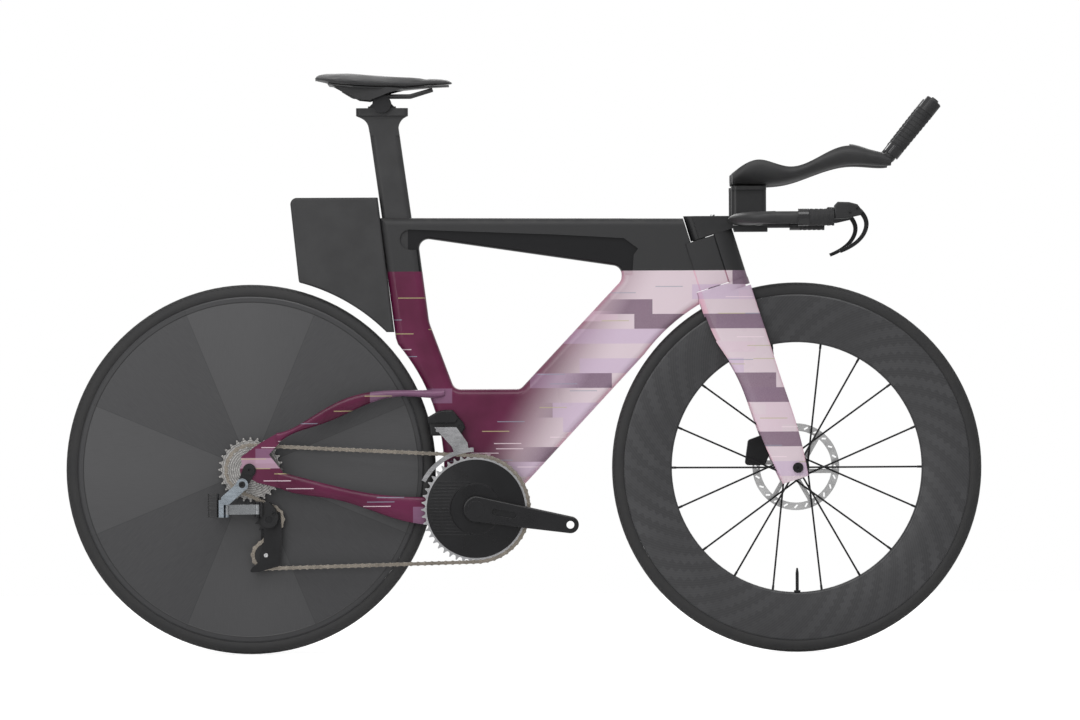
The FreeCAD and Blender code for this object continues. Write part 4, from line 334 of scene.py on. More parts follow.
def makePaint(name, hasScoop):
    material, sheet, shader = newFinish(name)
    look = paintLook
    x, y, z = sheet.axes(sheet.place())
    slope = sheet.calc("MULTIPLY", sheet.calc("SUBTRACT", z, look["fadeLevel"]), look["fadeLean"])
    fade = sheet.spread(sheet.calc("SUBTRACT", x, slope), *look["fade"], smooth=True)
    large = sheet.use(barCells, **look["largeBars"])
    middle = sheet.use(barCells, **look["middleBars"])
    thin = sheet.use(barCells, **look["thinLines"])
    grain = sheet.use(fineGrain, scale=look["grain"], cloud=look["cloud"])
    sideways = sheet.axes(sheet.add("NewGeometry").outputs["Normal"])[1]
    # painted edge shading: the paint turns pinker where the face turns away from the side
    paintedEdgeShade = sheet.spread(sheet.calc("ABSOLUTE", sideways), *look["paintedEdgeShade"], smooth=True)
    pink = sheet.mix(paintedEdgeShade, look["paintedEdgePink"], look["pinkGrey"])
    deep = sheet.mix(sheet.spread(grain["cloudiness"], *middleBand), look["deepMaroon"], look["maroon"])
    colour = sheet.mix(fade, deep, pink)
    patch = sheet.calc("GREATER_THAN", large["pick"], sheet.spread(fade, 0, 1, *look["patchFrom"]))
    patch = sheet.calc("MULTIPLY", patch, sheet.spread(fade, 0, 1, *look["patchShare"]))
    colour = sheet.mix(patch, colour, look["lilac"])
    pale = sheet.calc("GREATER_THAN", middle["pick"], sheet.spread(fade, 0, 1, *look["paleFrom"]))
    pale = sheet.calc("MULTIPLY", pale, sheet.spread(fade, 0, 1, *look["paleShare"]))
    colour = sheet.mix(pale, colour, look["palePatch"])
    bar = sheet.calc("GREATER_THAN", large["chance"], look["barFrom"])
    bar = sheet.calc("MULTIPLY", bar, sheet.spread(fade, *look["barFade"], 0.0, look["barShare"]))
    colour = sheet.mix(bar, colour, look["barPurple"])
    line = sheet.calc("GREATER_THAN", thin["chance"], look["lineFrom"])
    lineColour = sheet.steps(thin["pick"], zip(look["lineStops"], look["lineColours"]))
    colour = sheet.mix(sheet.calc("MULTIPLY", line, look["lineShare"]), colour, lineColour)
    # pale flecks: the metallic flake in the paint, partly a painted glint of the flakes
    flakeAndGlint = sheet.calc("MULTIPLY", sheet.spread(grain["height"], *middleBand, 0.0, look["flakeAndGlintShare"]), fade)
    colour = sheet.mix(flakeAndGlint, colour, look["flakeAndGlintColour"])
    black = sheet.calc("GREATER_THAN", z, look["splitHeight"])
    colour = sheet.mix(black, colour, look["matt"])
    roughness = sheet.blend(black, sheet.spread(grain["cloudiness"], *wideBand, *look["glossRough"]),
                            sheet.spread(grain["cloudiness"], *wideBand, *look["mattRough"]))
    if hasScoop:
        inside = sheet.calc("LESS_THAN", sheet.calc("ABSOLUTE", y), look["scoopFloor"])
        along = sheet.calc("ABSOLUTE", sheet.calc("SUBTRACT", x, look["scoopMiddle"]))
        reach = sheet.calc("LESS_THAN", along, look["scoopReach"])
        level = sheet.calc("MULTIPLY", sheet.calc("LESS_THAN", z, look["scoopTop"]), black)
        scoop = sheet.calc("MULTIPLY", sheet.calc("MULTIPLY", inside, reach), level)
        colour = sheet.mix(scoop, colour, look["gloss"])
        roughness = sheet.blend(scoop, roughness, look["scoopRough"])
    dust = sheet.use(dustFilm, amount=look["dust"])
    colour = sheet.mix(dust["dust"], colour, look["dustColour"])
    setShader(sheet, shader, look, colour=colour, roughness=roughness,
              coat=sheet.spread(black, 0, 1, look["coat"], 0.0), normal=sheet.bump(grain["height"], look))
    return material


# Plain dark finishes, with what they have in common unless a row says otherwise
darkCommon = {
    "shades": (0.88, 1.14),
    "metal": 0.0,
    "coat": 0.0,
    "coatRough": 0.1,
    "specular": 0.25,
    "roughSwing": (-0.05, 0.05),
    "grain": 900.0,
    "cloud": 22.0,
    "edgeRadius": 0.0006,
    "wear": 0.10,
    "wornColour": (0.30, 0.30, 0.31),
    "dust": 0.05,
    "dustColour": (0.42, 0.41, 0.39),
    "bumpStrength": 0.12,
    "bumpDepth": 0.0002,
}
darkLooks = {
    "mattCarbon": dict(tone=(0.032, 0.032, 0.033), rough=0.47, wear=0.05),
    "boxShell": dict(tone=(0.034, 0.034, 0.035), rough=0.52, grain=1100.0, wear=0.04),
    "coverPlastic": dict(tone=(0.022, 0.022, 0.023), rough=0.40, coat=0.1, wear=0.05),
    "glossBlack": dict(tone=(0.011, 0.011, 0.012), rough=0.13, coat=0.5, grain=700.0, wear=0.03),
    "blackAnodised": dict(tone=(0.018, 0.018, 0.019), rough=0.33, metal=0.55, grain=1500.0, wear=0.22),
    "crankAlloy": dict(tone=(0.007, 0.007, 0.008), rough=0.28, coat=0.10, grain=1300.0, wear=0.16),
    "ringCover": dict(tone=(0.005, 0.005, 0.006), rough=0.30, coat=0.05, grain=1200.0, wear=0.12),
    "pulleyPlastic": dict(tone=(0.020, 0.020, 0.021), rough=0.45),
    "motorCase": dict(tone=(0.009, 0.009, 0.010), rough=0.30, coat=0.1, wear=0.08),
    "padStuff": dict(tone=(0.070, 0.060, 0.050), rough=0.80, metal=0.1, grain=700.0),
    "spokeBlack": dict(tone=(0.020, 0.020, 0.021), rough=0.30, metal=0.6, grain=1500.0),
}


def makeDark(name):
    look = {**darkCommon, **darkLooks[name]}
    material, sheet, shader = newFinish(name)
    grain = sheet.use(fineGrain, scale=look["grain"], cloud=look["cloud"])
    edge = sheet.use(softEdge, radius=look["edgeRadius"])
    colour = sheet.mix(sheet.spread(grain["cloudiness"], *middleBand), *shadesOf(look))
    colour = sheet.mix(sheet.calc("MULTIPLY", edge["edge"], look["wear"]), colour, look["wornColour"])
    dust = sheet.use(dustFilm, amount=look["dust"])
    colour = sheet.mix(dust["dust"], colour, look["dustColour"])
    setShader(sheet, shader, look, colour=colour, metallic=look["metal"],
              roughness=sheet.spread(grain["cloudiness"], *wideBand, *roughRange(look)),
              normal=sheet.bump(grain["height"], look, edge["normal"]))
    return material


# Bright metal, brushed round an axle where a row names one
metalCommon = {
    "shades": (0.80, 1.12),
    "metal": 0.95,
    "roughSwing": (-0.07, 0.10),
    "axle": None,
    "brush": 420.0,
    "brushDetail": 2.0,
    "brushStretch": (0.12, 1.0, 1.0),
    "cloud": 45.0,
    "edgeRadius": 0.0004,
    "wear": 0.35,
    "wornColour": (0.80, 0.80, 0.80),
    # painted shade on the cassette: darker rings where each sprocket shades the one behind it
    "paintedShadeStep": None,  # each sprocket shades the one behind it, in rings of this width
    "paintedShadeBand": (0.15, 0.75),
    "paintedShadeShare": 0.62,
    "paintedShadeTone": 0.18,
    "blackBehind": None,  # x behind which the piece is black plastic
    "blackTone": (0.016, 0.016, 0.017),
    "bumpStrength": 0.06,
    "bumpDepth": 0.0001,
}
metalLooks = {
    "satinSilver": dict(tone=(0.28, 0.29, 0.30), rough=0.27),
    "knuckleSilver": dict(tone=(0.24, 0.27, 0.30), rough=0.24, blackBehind=-0.5557),
    "cageGrey": dict(tone=(0.33, 0.33, 0.34), rough=0.24, brush=500.0),
    "cassetteSteel": dict(tone=(0.36, 0.35, 0.34), rough=0.24, axle=rearAxle, brush=2600.0, paintedShadeStep=0.0042),
    "ringSteel": dict(tone=(0.38, 0.38, 0.39), rough=0.28, axle=crankAxle, brush=2600.0),
    "frontRotorSteel": dict(tone=(0.52, 0.52, 0.52), rough=0.26, axle=frontAxle, brush=3000.0),
    "rearRotorSteel": dict(tone=(0.52, 0.52, 0.52), rough=0.26, axle=rearAxle, brush=3000.0),
    "bearingSteel": dict(tone=(0.55, 0.55, 0.56), rough=0.22, brush=600.0),
    "chainPlate": dict(tone=(0.23, 0.205, 0.175), rough=0.27, brush=900.0),
}


def makeMetal(name):
    look = {**metalCommon, **metalLooks[name]}
    material, sheet, shader = newFinish(name)
    spot = sheet.place()
    if look["axle"]:
        x, y, z = sheet.axes(spot)
        dx = sheet.calc("SUBTRACT", x, look["axle"][0])
        dz = sheet.calc("SUBTRACT", z, look["axle"][1])
        radius = sheet.vec("LENGTH", sheet.join(dx, 0.0, dz))
        grooves = sheet.join(radius, y, 0.0)
    else:
        grooves = sheet.vec("MULTIPLY", spot, look["brushStretch"])
    streak = sheet.noise(grooves, look["brush"], look["brushDetail"])
    cloud = sheet.noise(spot, look["cloud"], groupLook["cloudDetail"])
    edge = sheet.use(softEdge, radius=look["edgeRadius"])
    colour = sheet.mix(sheet.spread(cloud, *wideBand), *shadesOf(look))
    colour = sheet.mix(sheet.calc("MULTIPLY", edge["edge"], look["wear"]), colour, look["wornColour"])
    # painted shade: darker rings between the sprockets, where each one shades the one behind it
    if look["paintedShadeStep"]:
        rung = sheet.calc("FRACT", sheet.calc("DIVIDE", radius, look["paintedShadeStep"]))
        shade = sheet.spread(rung, *look["paintedShadeBand"], look["paintedShadeShare"], 0.0, smooth=True)
        colour = sheet.mix(shade, colour, tuple(Vector(look["tone"]) * look["paintedShadeTone"]))
    metallic = look["metal"]
    if look["blackBehind"]:
        box = sheet.calc("LESS_THAN", sheet.axes(spot)[0], look["blackBehind"])
        colour = sheet.mix(box, colour, look["blackTone"])
        metallic = sheet.blend(box, metallic, 0.0)
    setShader(sheet, shader, look, colour=colour, metallic=metallic,
              roughness=sheet.spread(streak, *wideBand, *roughRange(look)),
              normal=sheet.bump(streak, look, edge["normal"]))
    return material


# Disc wheel: sheets of one way carbon laid round the hub, with a seam near the rim; the sheets' alternate
# light and dark tone and their darkening towards their sides are painted reflection, standing in for the
# fibres' changing sheen
discLook = {
    "sheets": 8,
    "paintedBrightPly": (0.058, 0.058, 0.060),
    "paintedDimPly": (0.040, 0.040, 0.042),
    "lightRough": (0.34, 0.42),
    "darkRough": (0.42, 0.50),
    # painted reflection: a sheet darkens towards its sides, as the fibres' sheen falls off
    "paintedFallReach": 0.12,  # a sheet darkens towards its sides
    "paintedFallShare": 0.35,
    "fibreScale": 800.0,
    "fibreStretch": 0.05,
    "fibreColour": (0.075, 0.075, 0.078),
    "fibreShare": 0.25,
    "ring": (0.034, 0.034, 0.036),
    "seam": 0.307,
    "seamWidth": (0.0004, 0.0012),
    "seamColour": (0.012, 0.012, 0.012),
    "seamShare": 0.8,
    "jointWidth": (0.0003, 0.0012),
    "jointColour": (0.020, 0.020, 0.021),
    "jointShare": 0.5,
    "coat": 0.05,
    "coatRough": 0.3,
    "specular": 0.3,
    "edgeRadius": 0.0008,
    "bumpStrength": 0.05,
    "bumpDepth": 0.0002,
}


def makeDiscCarbon(name, centre):
    look = discLook
    material, sheet, shader = newFinish(name)
    dx, dz, radius, angle, y = polarPlace(sheet, centre)
    part = sheet.calc("ADD", sheet.calc("MULTIPLY", angle, look["sheets"] / math.tau), 0.5)
    number = sheet.calc("FLOOR", part)
    left = sheet.calc("MODULO", sheet.calc("ADD", number, 2.0 * look["sheets"]), 2.0)
    odd = sheet.calc("GREATER_THAN", left, 0.5)
    lean = sheet.calc("MULTIPLY", number, math.tau / look["sheets"])
    cosine = sheet.calc("COSINE", lean)
    sine = sheet.calc("SINE", lean)
    along = sheet.calc("ADD", sheet.calc("MULTIPLY", dx, cosine), sheet.calc("MULTIPLY", dz, sine))
    over = sheet.calc("SUBTRACT", sheet.calc("MULTIPLY", dz, cosine), sheet.calc("MULTIPLY", dx, sine))
    thread = sheet.join(sheet.calc("MULTIPLY", along, look["fibreStretch"]), over, number)
    fibre = sheet.noise(thread, look["fibreScale"])
    paintedFall = sheet.spread(sheet.calc("ABSOLUTE", over), 0.0, look["paintedFallReach"])
    # painted reflection: alternate sheets are painted brighter and dimmer, and each dims towards its sides
    colour = sheet.mix(odd, look["paintedBrightPly"], look["paintedDimPly"])
    colour = sheet.mix(sheet.calc("MULTIPLY", paintedFall, look["paintedFallShare"]), colour, look["paintedDimPly"])
    colour = sheet.mix(sheet.spread(fibre, *middleBand, 0.0, look["fibreShare"]), colour, look["fibreColour"])
    outer = sheet.calc("GREATER_THAN", radius, look["seam"])
    colour = sheet.mix(outer, colour, look["ring"])
    offSeam = sheet.calc("ABSOLUTE", sheet.calc("SUBTRACT", radius, look["seam"]))
    seam = sheet.spread(offSeam, *look["seamWidth"], 1, 0)
    colour = sheet.mix(sheet.calc("MULTIPLY", seam, look["seamShare"]), colour, look["seamColour"])
    ply = sheet.calc("ABSOLUTE", sheet.calc("SUBTRACT", sheet.calc("FRACT", part), 0.5))
    offJoint = sheet.calc("MULTIPLY", sheet.calc("SUBTRACT", 0.5, ply), radius)
    joint = sheet.spread(offJoint, *look["jointWidth"], look["jointShare"], 0.0)
    colour = sheet.mix(joint, colour, look["jointColour"])
    roughness = sheet.blend(odd, sheet.spread(fibre, *wideBand, *look["lightRough"]),
                            sheet.spread(fibre, *wideBand, *look["darkRough"]))
    edge = sheet.use(softEdge, radius=look["edgeRadius"])
    setShader(sheet, shader, look, colour=colour, roughness=roughness,
              normal=sheet.bump(fibre, look, edge["normal"]))
    return material


# Deep front rim: cloth squares that follow the hoop, faint under a satin coat; the lighter tone of the
# squares and tows that lie on top is painted reflection of the fibres
rimLook = {
    "square": 0.0105,
    "meanRadius": 0.272,
    "towsPerSquare": 7.0,
    "dark": (0.036, 0.036, 0.038),
    "light": (0.058, 0.058, 0.061),
    "towSheenColour": (0.085, 0.085, 0.088),
    "towSheenShare": 0.16,
    "cloud": 11.0,
    "clothShare": (0.15, 0.75),
    "rough": (0.40, 0.34),
    "coat": 0.06,
    "coatRough": 0.25,
    "specular": 0.3,
    "edgeRadius": 0.0008,
    "bumpStrength": 0.03,
    "bumpDepth": 0.0002,
}


def makeRimCarbon(name, centre):
    look = rimLook
    material, sheet, shader = newFinish(name)
    dx, dz, radius, angle, y = polarPlace(sheet, centre)
    along = sheet.calc("MULTIPLY", angle, look["meanRadius"] / look["square"])
    over = sheet.calc("DIVIDE", radius, look["square"])
    cloth = sheet.use(carbonTwill, along=along, over=over)
    tow = sheet.use(carbonTwill, along=sheet.calc("MULTIPLY", along, look["towsPerSquare"]),
                    over=sheet.calc("MULTIPLY", over, look["towsPerSquare"]))
    share = sheet.spread(sheet.noise(sheet.place(), look["cloud"]), *middleBand, *look["clothShare"])
    # painted reflection: the cloth squares and tows that lie on top are lightened, standing in for the
    # fibres' sheen
    colour = sheet.mix(sheet.calc("MULTIPLY", cloth["shade"], share), look["dark"], look["light"])
    colour = sheet.mix(sheet.calc("MULTIPLY", tow["shade"], look["towSheenShare"]), colour, look["towSheenColour"])
    edge = sheet.use(softEdge, radius=look["edgeRadius"])
    setShader(sheet, shader, look, colour=colour, roughness=sheet.blend(cloth["shade"], *look["rough"]),
              normal=sheet.bump(tow["height"], look, edge["normal"]))
    return material


# Tyres: slick crown, small slanted grip cuts on the shoulders, fine rings on the wall
tyreLook = {
    "rubber": (0.026, 0.026, 0.027),
    "crown": (0.034, 0.034, 0.035),
    "crownRadius": (0.330, 0.3385),
    "worn": (0.044, 0.043, 0.042),
    "wornShare": 0.35,
    "cuts": 210,
    "cutSlant": 160.0,
    "cutWidth": 0.30,
    "cutBand": (0.0065, 0.0110),  # how far to the side of the crown the cuts lie
    "cutInner": 0.327,
    # painted shade in the grip cuts
    "cutShadeColour": (0.010, 0.010, 0.010),
    "cutShadeShare": 0.6,
    "wallOuter": 0.328,
    "wallRings": 4200.0,
    "ringHeight": 0.12,
    "grain": 1600.0,
    "grainHeight": 0.25,
    "cloud": 30.0,
    "rough": (0.56, 0.70),
    "specular": 0.25,
    "bumpStrength": 0.5,
    "bumpDepth": 0.0005,
}


def makeTyreRubber(name, centre):
    look = tyreLook
    material, sheet, shader = newFinish(name)
    dx, dz, radius, angle, y = polarPlace(sheet, centre)
    side = sheet.calc("ABSOLUTE", y)
    turned = sheet.calc("MULTIPLY", angle, look["cuts"] / math.tau)
    slant = sheet.calc("ADD", turned, sheet.calc("MULTIPLY", side, look["cutSlant"]))
    cut = sheet.calc("LESS_THAN", sheet.calc("FRACT", slant), look["cutWidth"])
    near, far = look["cutBand"]
    band = sheet.calc("MULTIPLY", sheet.calc("GREATER_THAN", side, near), sheet.calc("LESS_THAN", side, far))
    band = sheet.calc("MULTIPLY", band, sheet.calc("GREATER_THAN", radius, look["cutInner"]))
    grooves = sheet.calc("MULTIPLY", cut, band)
    rings = sheet.calc("SINE", sheet.calc("MULTIPLY", radius, look["wallRings"]))
    wall = sheet.calc("LESS_THAN", radius, look["wallOuter"])
    grain = sheet.use(fineGrain, scale=look["grain"], cloud=look["cloud"])
    worn = sheet.spread(grain["cloudiness"], *middleBand, 0.0, look["wornShare"])
    colour = sheet.mix(sheet.spread(radius, *look["crownRadius"]), look["rubber"], look["crown"])
    colour = sheet.mix(worn, colour, look["worn"])
    # painted shade: the grip cuts are darkened where shade falls in them
    colour = sheet.mix(sheet.calc("MULTIPLY", grooves, look["cutShadeShare"]), colour, look["cutShadeColour"])
    height = sheet.calc("MULTIPLY", sheet.calc("MULTIPLY", rings, wall), look["ringHeight"])
    height = sheet.calc("SUBTRACT", height, grooves)
    height = sheet.calc("ADD", height, sheet.calc("MULTIPLY", grain["height"], look["grainHeight"]))
    setShader(sheet, shader, look, colour=colour,
              roughness=sheet.spread(grain["cloudiness"], *wideBand, *look["rough"]),
              normal=sheet.bump(height, look))
    return material


# Saddle skin: pebbled synthetic leather
skinLook = {
    "tone": (0.030, 0.030, 0.031),
    "shades": (0.8, 1.2),
    "cloud": 30.0,
    "pebble": 620.0,
    "pebbleBand": (0.1, 0.6),
    "pebbleShare": 0.35,
    "pebbleTone": 1.35,
    "dust": 0.05,
    "dustColour": (0.40, 0.38, 0.36),
    "rough": 0.50,
    "roughSwing": (-0.06, 0.08),
    "sheen": 0.08,
    "specular": 0.3,
    "bumpStrength": 0.25,
    "bumpDepth": 0.0003,
}


def makeSaddleSkin(name):
    look = skinLook
    material, sheet, shader = newFinish(name)
    spot = sheet.place()
    cells = sheet.add("TexVoronoi", {"Vector": spot, "Scale": look["pebble"]}, feature="SMOOTH_F1")
    pebble = cells.outputs["Distance"]
    cloud = sheet.noise(spot, look["cloud"], groupLook["cloudDetail"])
    colour = sheet.mix(sheet.spread(cloud, *middleBand), *shadesOf(look))
    raised = sheet.spread(pebble, *look["pebbleBand"], 0.0, look["pebbleShare"])
    colour = sheet.mix(raised, tuple(Vector(look["tone"]) * look["pebbleTone"]), colour)
    dust = sheet.use(dustFilm, amount=look["dust"])
    colour = sheet.mix(dust["dust"], colour, look["dustColour"])
    setShader(sheet, shader, look, colour=colour,
              roughness=sheet.spread(cloud, *wideBand, *roughRange(look)),
              normal=sheet.bump(pebble, look))
    return material


# Grip tape: soft pressed dots on a rubbery strip
tapeLook = {
    "tone": (0.022, 0.022, 0.023),
    "shades": (0.75, 1.3),
    "cloud": 40.0,
    "dots": 900.0,
    "dotScatter": 0.25,
    "rough": (0.55, 0.72),
    "sheen": 0.08,
    "specular": 0.25,
    "bumpStrength": 0.35,
    "bumpDepth": 0.0004,
}


def makeTapeRubber(name):
    look = tapeLook
    material, sheet, shader = newFinish(name)
    spot = sheet.place()
    cells = sheet.add("TexVoronoi", {"Vector": spot, "Scale": look["dots"], "Randomness": look["dotScatter"]})
    cloud = sheet.noise(spot, look["cloud"], groupLook["cloudDetail"])
    colour = sheet.mix(sheet.spread(cloud, *middleBand), *shadesOf(look))
    setShader(sheet, shader, look, colour=colour,
              roughness=sheet.spread(cloud, *wideBand, *look["rough"]),
              normal=sheet.bump(cells.outputs["Distance"], look))
    return material


finishes = {name: makeDark(name) for name in darkLooks}
finishes.update({name: makeMetal(name) for name in metalLooks})
makers = {
    "framePaint": (makePaint, True),
    "forkPaint": (makePaint, False),
    "discCarbon": (makeDiscCarbon, rearAxle),
    "rimCarbon": (makeRimCarbon, frontAxle),
    "frontTyreRubber": (makeTyreRubber, frontAxle),
    "rearTyreRubber": (makeTyreRubber, rearAxle),
    "saddleSkin": (makeSaddleSkin,),
    "tapeRubber": (makeTapeRubber,),
}
finishes.update({name: make(name, *values) for name, (make, *values) in makers.items()})
print("finishes made,", len(finishes))

# Which finish each piece wears
dressing = {
    "framePaint": ["frame"],
    "forkPaint": ["fork"],
    "mattCarbon": ["seatpost", "base_bar", "extension_arms", "saddle_rails"],
    "boxShell": ["storage_box", "storage_lid"],
    "coverPlastic": ["top_tube_covers", "saddle_shell", "shifter_housings", "brake_lever_bodies", "stem",
                     "arm_risers"],
    "glossBlack": ["tape_rings", "left_shift_button", "right_shift_button"],
    "blackAnodised": ["derailleur_hanger", "rear_thru_axle", "rear_caliper", "saddle_carriage",
                      "saddle_clamp", "front_thru_axle", "front_caliper", "left_brake_lever",
                      "right_brake_lever", "front_hub", "front_valve", "rear_hub",
                      "derailleur_inner_link", "derailleur_cage"],
    "crankAlloy": ["crank_arm_right", "crank_arm_left"],
    "ringCover": ["chainring_cover"],
    "pulleyPlastic": ["guide_pulley", "tension_pulley"],
    "motorCase": ["front_derailleur_body", "derailleur_lower_knuckle"],
    "padStuff": ["front_pad_left", "front_pad_right", "rear_pad_left", "rear_pad_right"],
    "spokeBlack": ["front_spokes"],
    "satinSilver": ["derailleur_outer_link"],
    "knuckleSilver": ["derailleur_knuckle"],
    "cageGrey": ["front_derailleur_cage"],
    "cassetteSteel": ["cassette"],
    "ringSteel": ["chain_rings"],
    "frontRotorSteel": ["front_rotor"],
    "rearRotorSteel": ["rear_rotor"],
    "bearingSteel": ["frame_bearings", "rear_hub_axle", "front_hub_axle"],
    "chainPlate": ["chain"],
    "discCarbon": ["rear_disc"],
    "rimCarbon": ["front_rim"],
    "frontTyreRubber": ["front_tyre"],
    "rearTyreRubber": ["rear_tyre"],
}
for finish, names in dressing.items():
    for name in names:
        nodes[name].data.materials.clear()
        nodes[name].data.materials.append(finishes[finish])
print("nodes dressed,", sum(len(names) for names in dressing.values()))


def loosePiece(name, finish, mesh):
    mesh.materials.clear()
    mesh.materials.append(finishes[finish])
    piece = bpy.data.objects.new(name, mesh)
    bpy.context.scene.collection.objects.link(piece)
    return piece


def newPiece(name, body, finish, mesh):
    piece = loosePiece(name, finish, mesh)
    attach(piece, body)
    return piece


def meshFrom(name, work, smooth=True):
    mesh = bpy.data.meshes.new(name)
    bmesh.ops.recalc_face_normals(work, faces=work.faces)
    work.to_mesh(mesh)
    work.free()
    for face in mesh.polygons:
        face.use_smooth = smooth
    return mesh


# Wound tape: each turn overlaps the last, so the edge climbs round the tube as a helix
windings = {
    "bar": dict(start=(0.5161, 0.205, 0.793), heading=0.0, length=0.0458,
                bore=0.0111, wall=0.0044, growth=0.0),
    "stick": dict(start=(0.6828, 0.070, 0.9223), heading=51.0, length=0.0838,
                  bore=0.0101, wall=0.0044, growth=0.0013),
}
tapeTurn = {
    "pitch": 0.0088,
    "lip": 0.0009,
    "tuck": 0.35,  # share of the lip by which the strip's first edge is pressed in
    "crown": 0.00025,
    "crownSpread": 1.05,
    "round": 56,
    "across": (0.0, 0.05, 0.16, 0.5, 0.84, 0.97),
    "weld": 0.00002,
}


def windTape(work, start, heading, length, bore, wall, growth):
    lean = math.radians(heading)
    forward = Vector((math.cos(lean), 0, math.sin(lean)))
    side = Vector((0, 1, 0))
    up = forward.cross(side)
    count = tapeTurn["round"]
    steps = tapeTurn["across"]
    turns = int(length / tapeTurn["pitch"]) + 2
    rows = []
    for turnIndex in range(-1, turns):
        for share in steps:
            ringPoints = []
            for index in range(count):
                spin = index / count
                place = (turnIndex + share + spin) * tapeTurn["pitch"]
                place = min(max(place, 0.0), length)
                crown = math.sin(math.pi * min(share * tapeTurn["crownSpread"], 1.0)) * tapeTurn["crown"]
                radius = bore + wall + growth * place / length - tapeTurn["lip"] * share + crown
                if share == steps[0]:
                    radius -= tapeTurn["lip"] * tapeTurn["tuck"]
                angle = spin * math.tau
                outward = side * math.cos(angle) + up * math.sin(angle)
                ringPoints.append(work.verts.new(start + forward * place + outward * radius))
            rows.append(ringPoints)
    perTurn = len(steps)
    for rowIndex in range(len(rows) - 1):
        for index in range(count):
            if index < count - 1:
                corners = (rows[rowIndex][index], rows[rowIndex][index + 1],
                           rows[rowIndex + 1][index + 1], rows[rowIndex + 1][index])
            elif rowIndex + perTurn + 1 < len(rows):
                corners = (rows[rowIndex][index], rows[rowIndex + perTurn][0],
                           rows[rowIndex + perTurn + 1][0], rows[rowIndex + 1][index])
            else:
                continue
            work.faces.new(corners)


def makeGripTape():
    work = bmesh.new()
    for winding in windings.values():
        for hand in (1, -1):
            start = Vector(winding["start"])
            start.y *= hand
            windTape(work, **{**winding, "start": start})
    bmesh.ops.remove_doubles(work, verts=work.verts, dist=tapeTurn["weld"])
    bmesh.ops.dissolve_degenerate(work, edges=work.edges, dist=tapeTurn["weld"])
    piece = newPiece("gripTapeWound", "steering", "tapeRubber", meshFrom("gripTapeWound", work))
    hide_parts("grip_tape")


makeGripTape()
print("grip tape wound")

# Saddle padding: a slightly smaller form, blown up by cloth pressure with its underside held
saddlePad = {
    "voxel": 0.0032,
    "inset": 0.0014,
    "underside": -0.25,  # faces that look further down than this are held
    "quality": 6,
    "mass": 0.25,
    "pressure": 4.0,
    "frames": 20,
    "cap": 0.0019,
    "smoothing": 6,
    "smoothShare": 0.5,
}


def applyAll(piece, names):
    bpy.context.view_layer.objects.active = piece
    for other in bpy.context.selected_objects:
        other.select_set(False)
    piece.select_set(True)
    for name in names:
        bpy.ops.object.modifier_apply(modifier=name)


def blowUp(piece):
    mesh = piece.data
    before = [vertex.co.copy() for vertex in mesh.vertices]
    under = [vertex.index for vertex in mesh.vertices if vertex.normal.z < saddlePad["underside"]]
    piece.vertex_groups.new(name="held").add(under, 1.0, "REPLACE")
    cloth = piece.modifiers.new("skin", "CLOTH")
    settings = cloth.settings
    settings.quality = saddlePad["quality"]
    settings.mass = saddlePad["mass"]
    settings.use_pressure = True
    settings.uniform_pressure_force = saddlePad["pressure"]
    settings.vertex_group_mass = "held"
    settings.effector_weights.gravity = 0.0
    scene = bpy.context.scene
    for number in range(1, saddlePad["frames"] + 1):
        scene.frame_set(number)
    shape = piece.evaluated_get(bpy.context.evaluated_depsgraph_get()).data
    after = [vertex.co.copy() for vertex in shape.vertices]
    piece.modifiers.remove(cloth)
    scene.frame_set(1)
    moves = []
    for vertex, old, new in zip(mesh.vertices, before, after):
        step = new - old
        if step.length > saddlePad["cap"]:
            step *= saddlePad["cap"] / step.length
        vertex.co = old + step
        moves.append(step.length)
    print("saddle skin moved up to", round(max(moves), 5), "mean", round(sum(moves) / len(moves), 5))


def makeSaddlePad():
    piece = newPiece("saddlePad", "saddle", "saddleSkin", nodes["saddle_cover"].data.copy())
    remesh = piece.modifiers.new("voxels", "REMESH")
    remesh.mode = "VOXEL"
    remesh.voxel_size = saddlePad["voxel"]
    shrink = piece.modifiers.new("shrink", "DISPLACE")
    shrink.strength = -saddlePad["inset"]
    shrink.mid_level = 0.0
    applyAll(piece, ("voxels", "shrink"))
    blowUp(piece)
    settle = piece.modifiers.new("settle", "SMOOTH")
    settle.factor = saddlePad["smoothShare"]
    settle.iterations = saddlePad["smoothing"]
    piece.modifiers.new("finer", "SUBSURF").levels = 1
    applyAll(piece, ("settle", "finer"))
    for face in piece.data.polygons:
        face.use_smooth = True
    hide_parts("saddle_cover")


makeSaddlePad()
print("saddle padded")

# Chain: shown as separate runs; the fixed run rides with the frame and the cage run with the derailleur cage,
# the other runs stay loose where they are
chainRuns = {
    "pitch": 0.0127,
    "sprocketTeeth": 22,
    "pulleyTeeth": 12,
    "clear": 0.0100,  # how far off the sprocket a link counts as free
    "guideEntry": 0.5,  # share of the guide pulley's radius at which the chain meets it
    "dropTop": 0.045,  # where the drop to the guide pulley starts, under the cassette's axle
    "pulleyReach": 0.05,
    "stretch": 0.10,  # reach behind the tension pulley of the lower run that is kept as a run of its own
    "pushReach": 0.14,  # reach behind the front cage of the upper run that is kept apart in two runs
}


def pitchRadius(teeth):
    return chainRuns["pitch"] / 2 / math.sin(math.pi / teeth)


def linkGroups(mesh):
    parent = list(range(len(mesh.vertices)))

    def root(index):
        while parent[index] != index:
            parent[index] = parent[parent[index]]
            index = parent[index]
        return index

    first = {}
    for vertex in mesh.vertices:
        key = tuple(round(value, 6) for value in vertex.co)
        parent[root(vertex.index)] = root(first.setdefault(key, vertex.index))
    for edge in mesh.edges:
        parent[root(edge.vertices[0])] = root(edge.vertices[1])
    groups = {}
    for index in range(len(parent)):
        groups.setdefault(root(index), []).append(index)
    return list(groups.values())


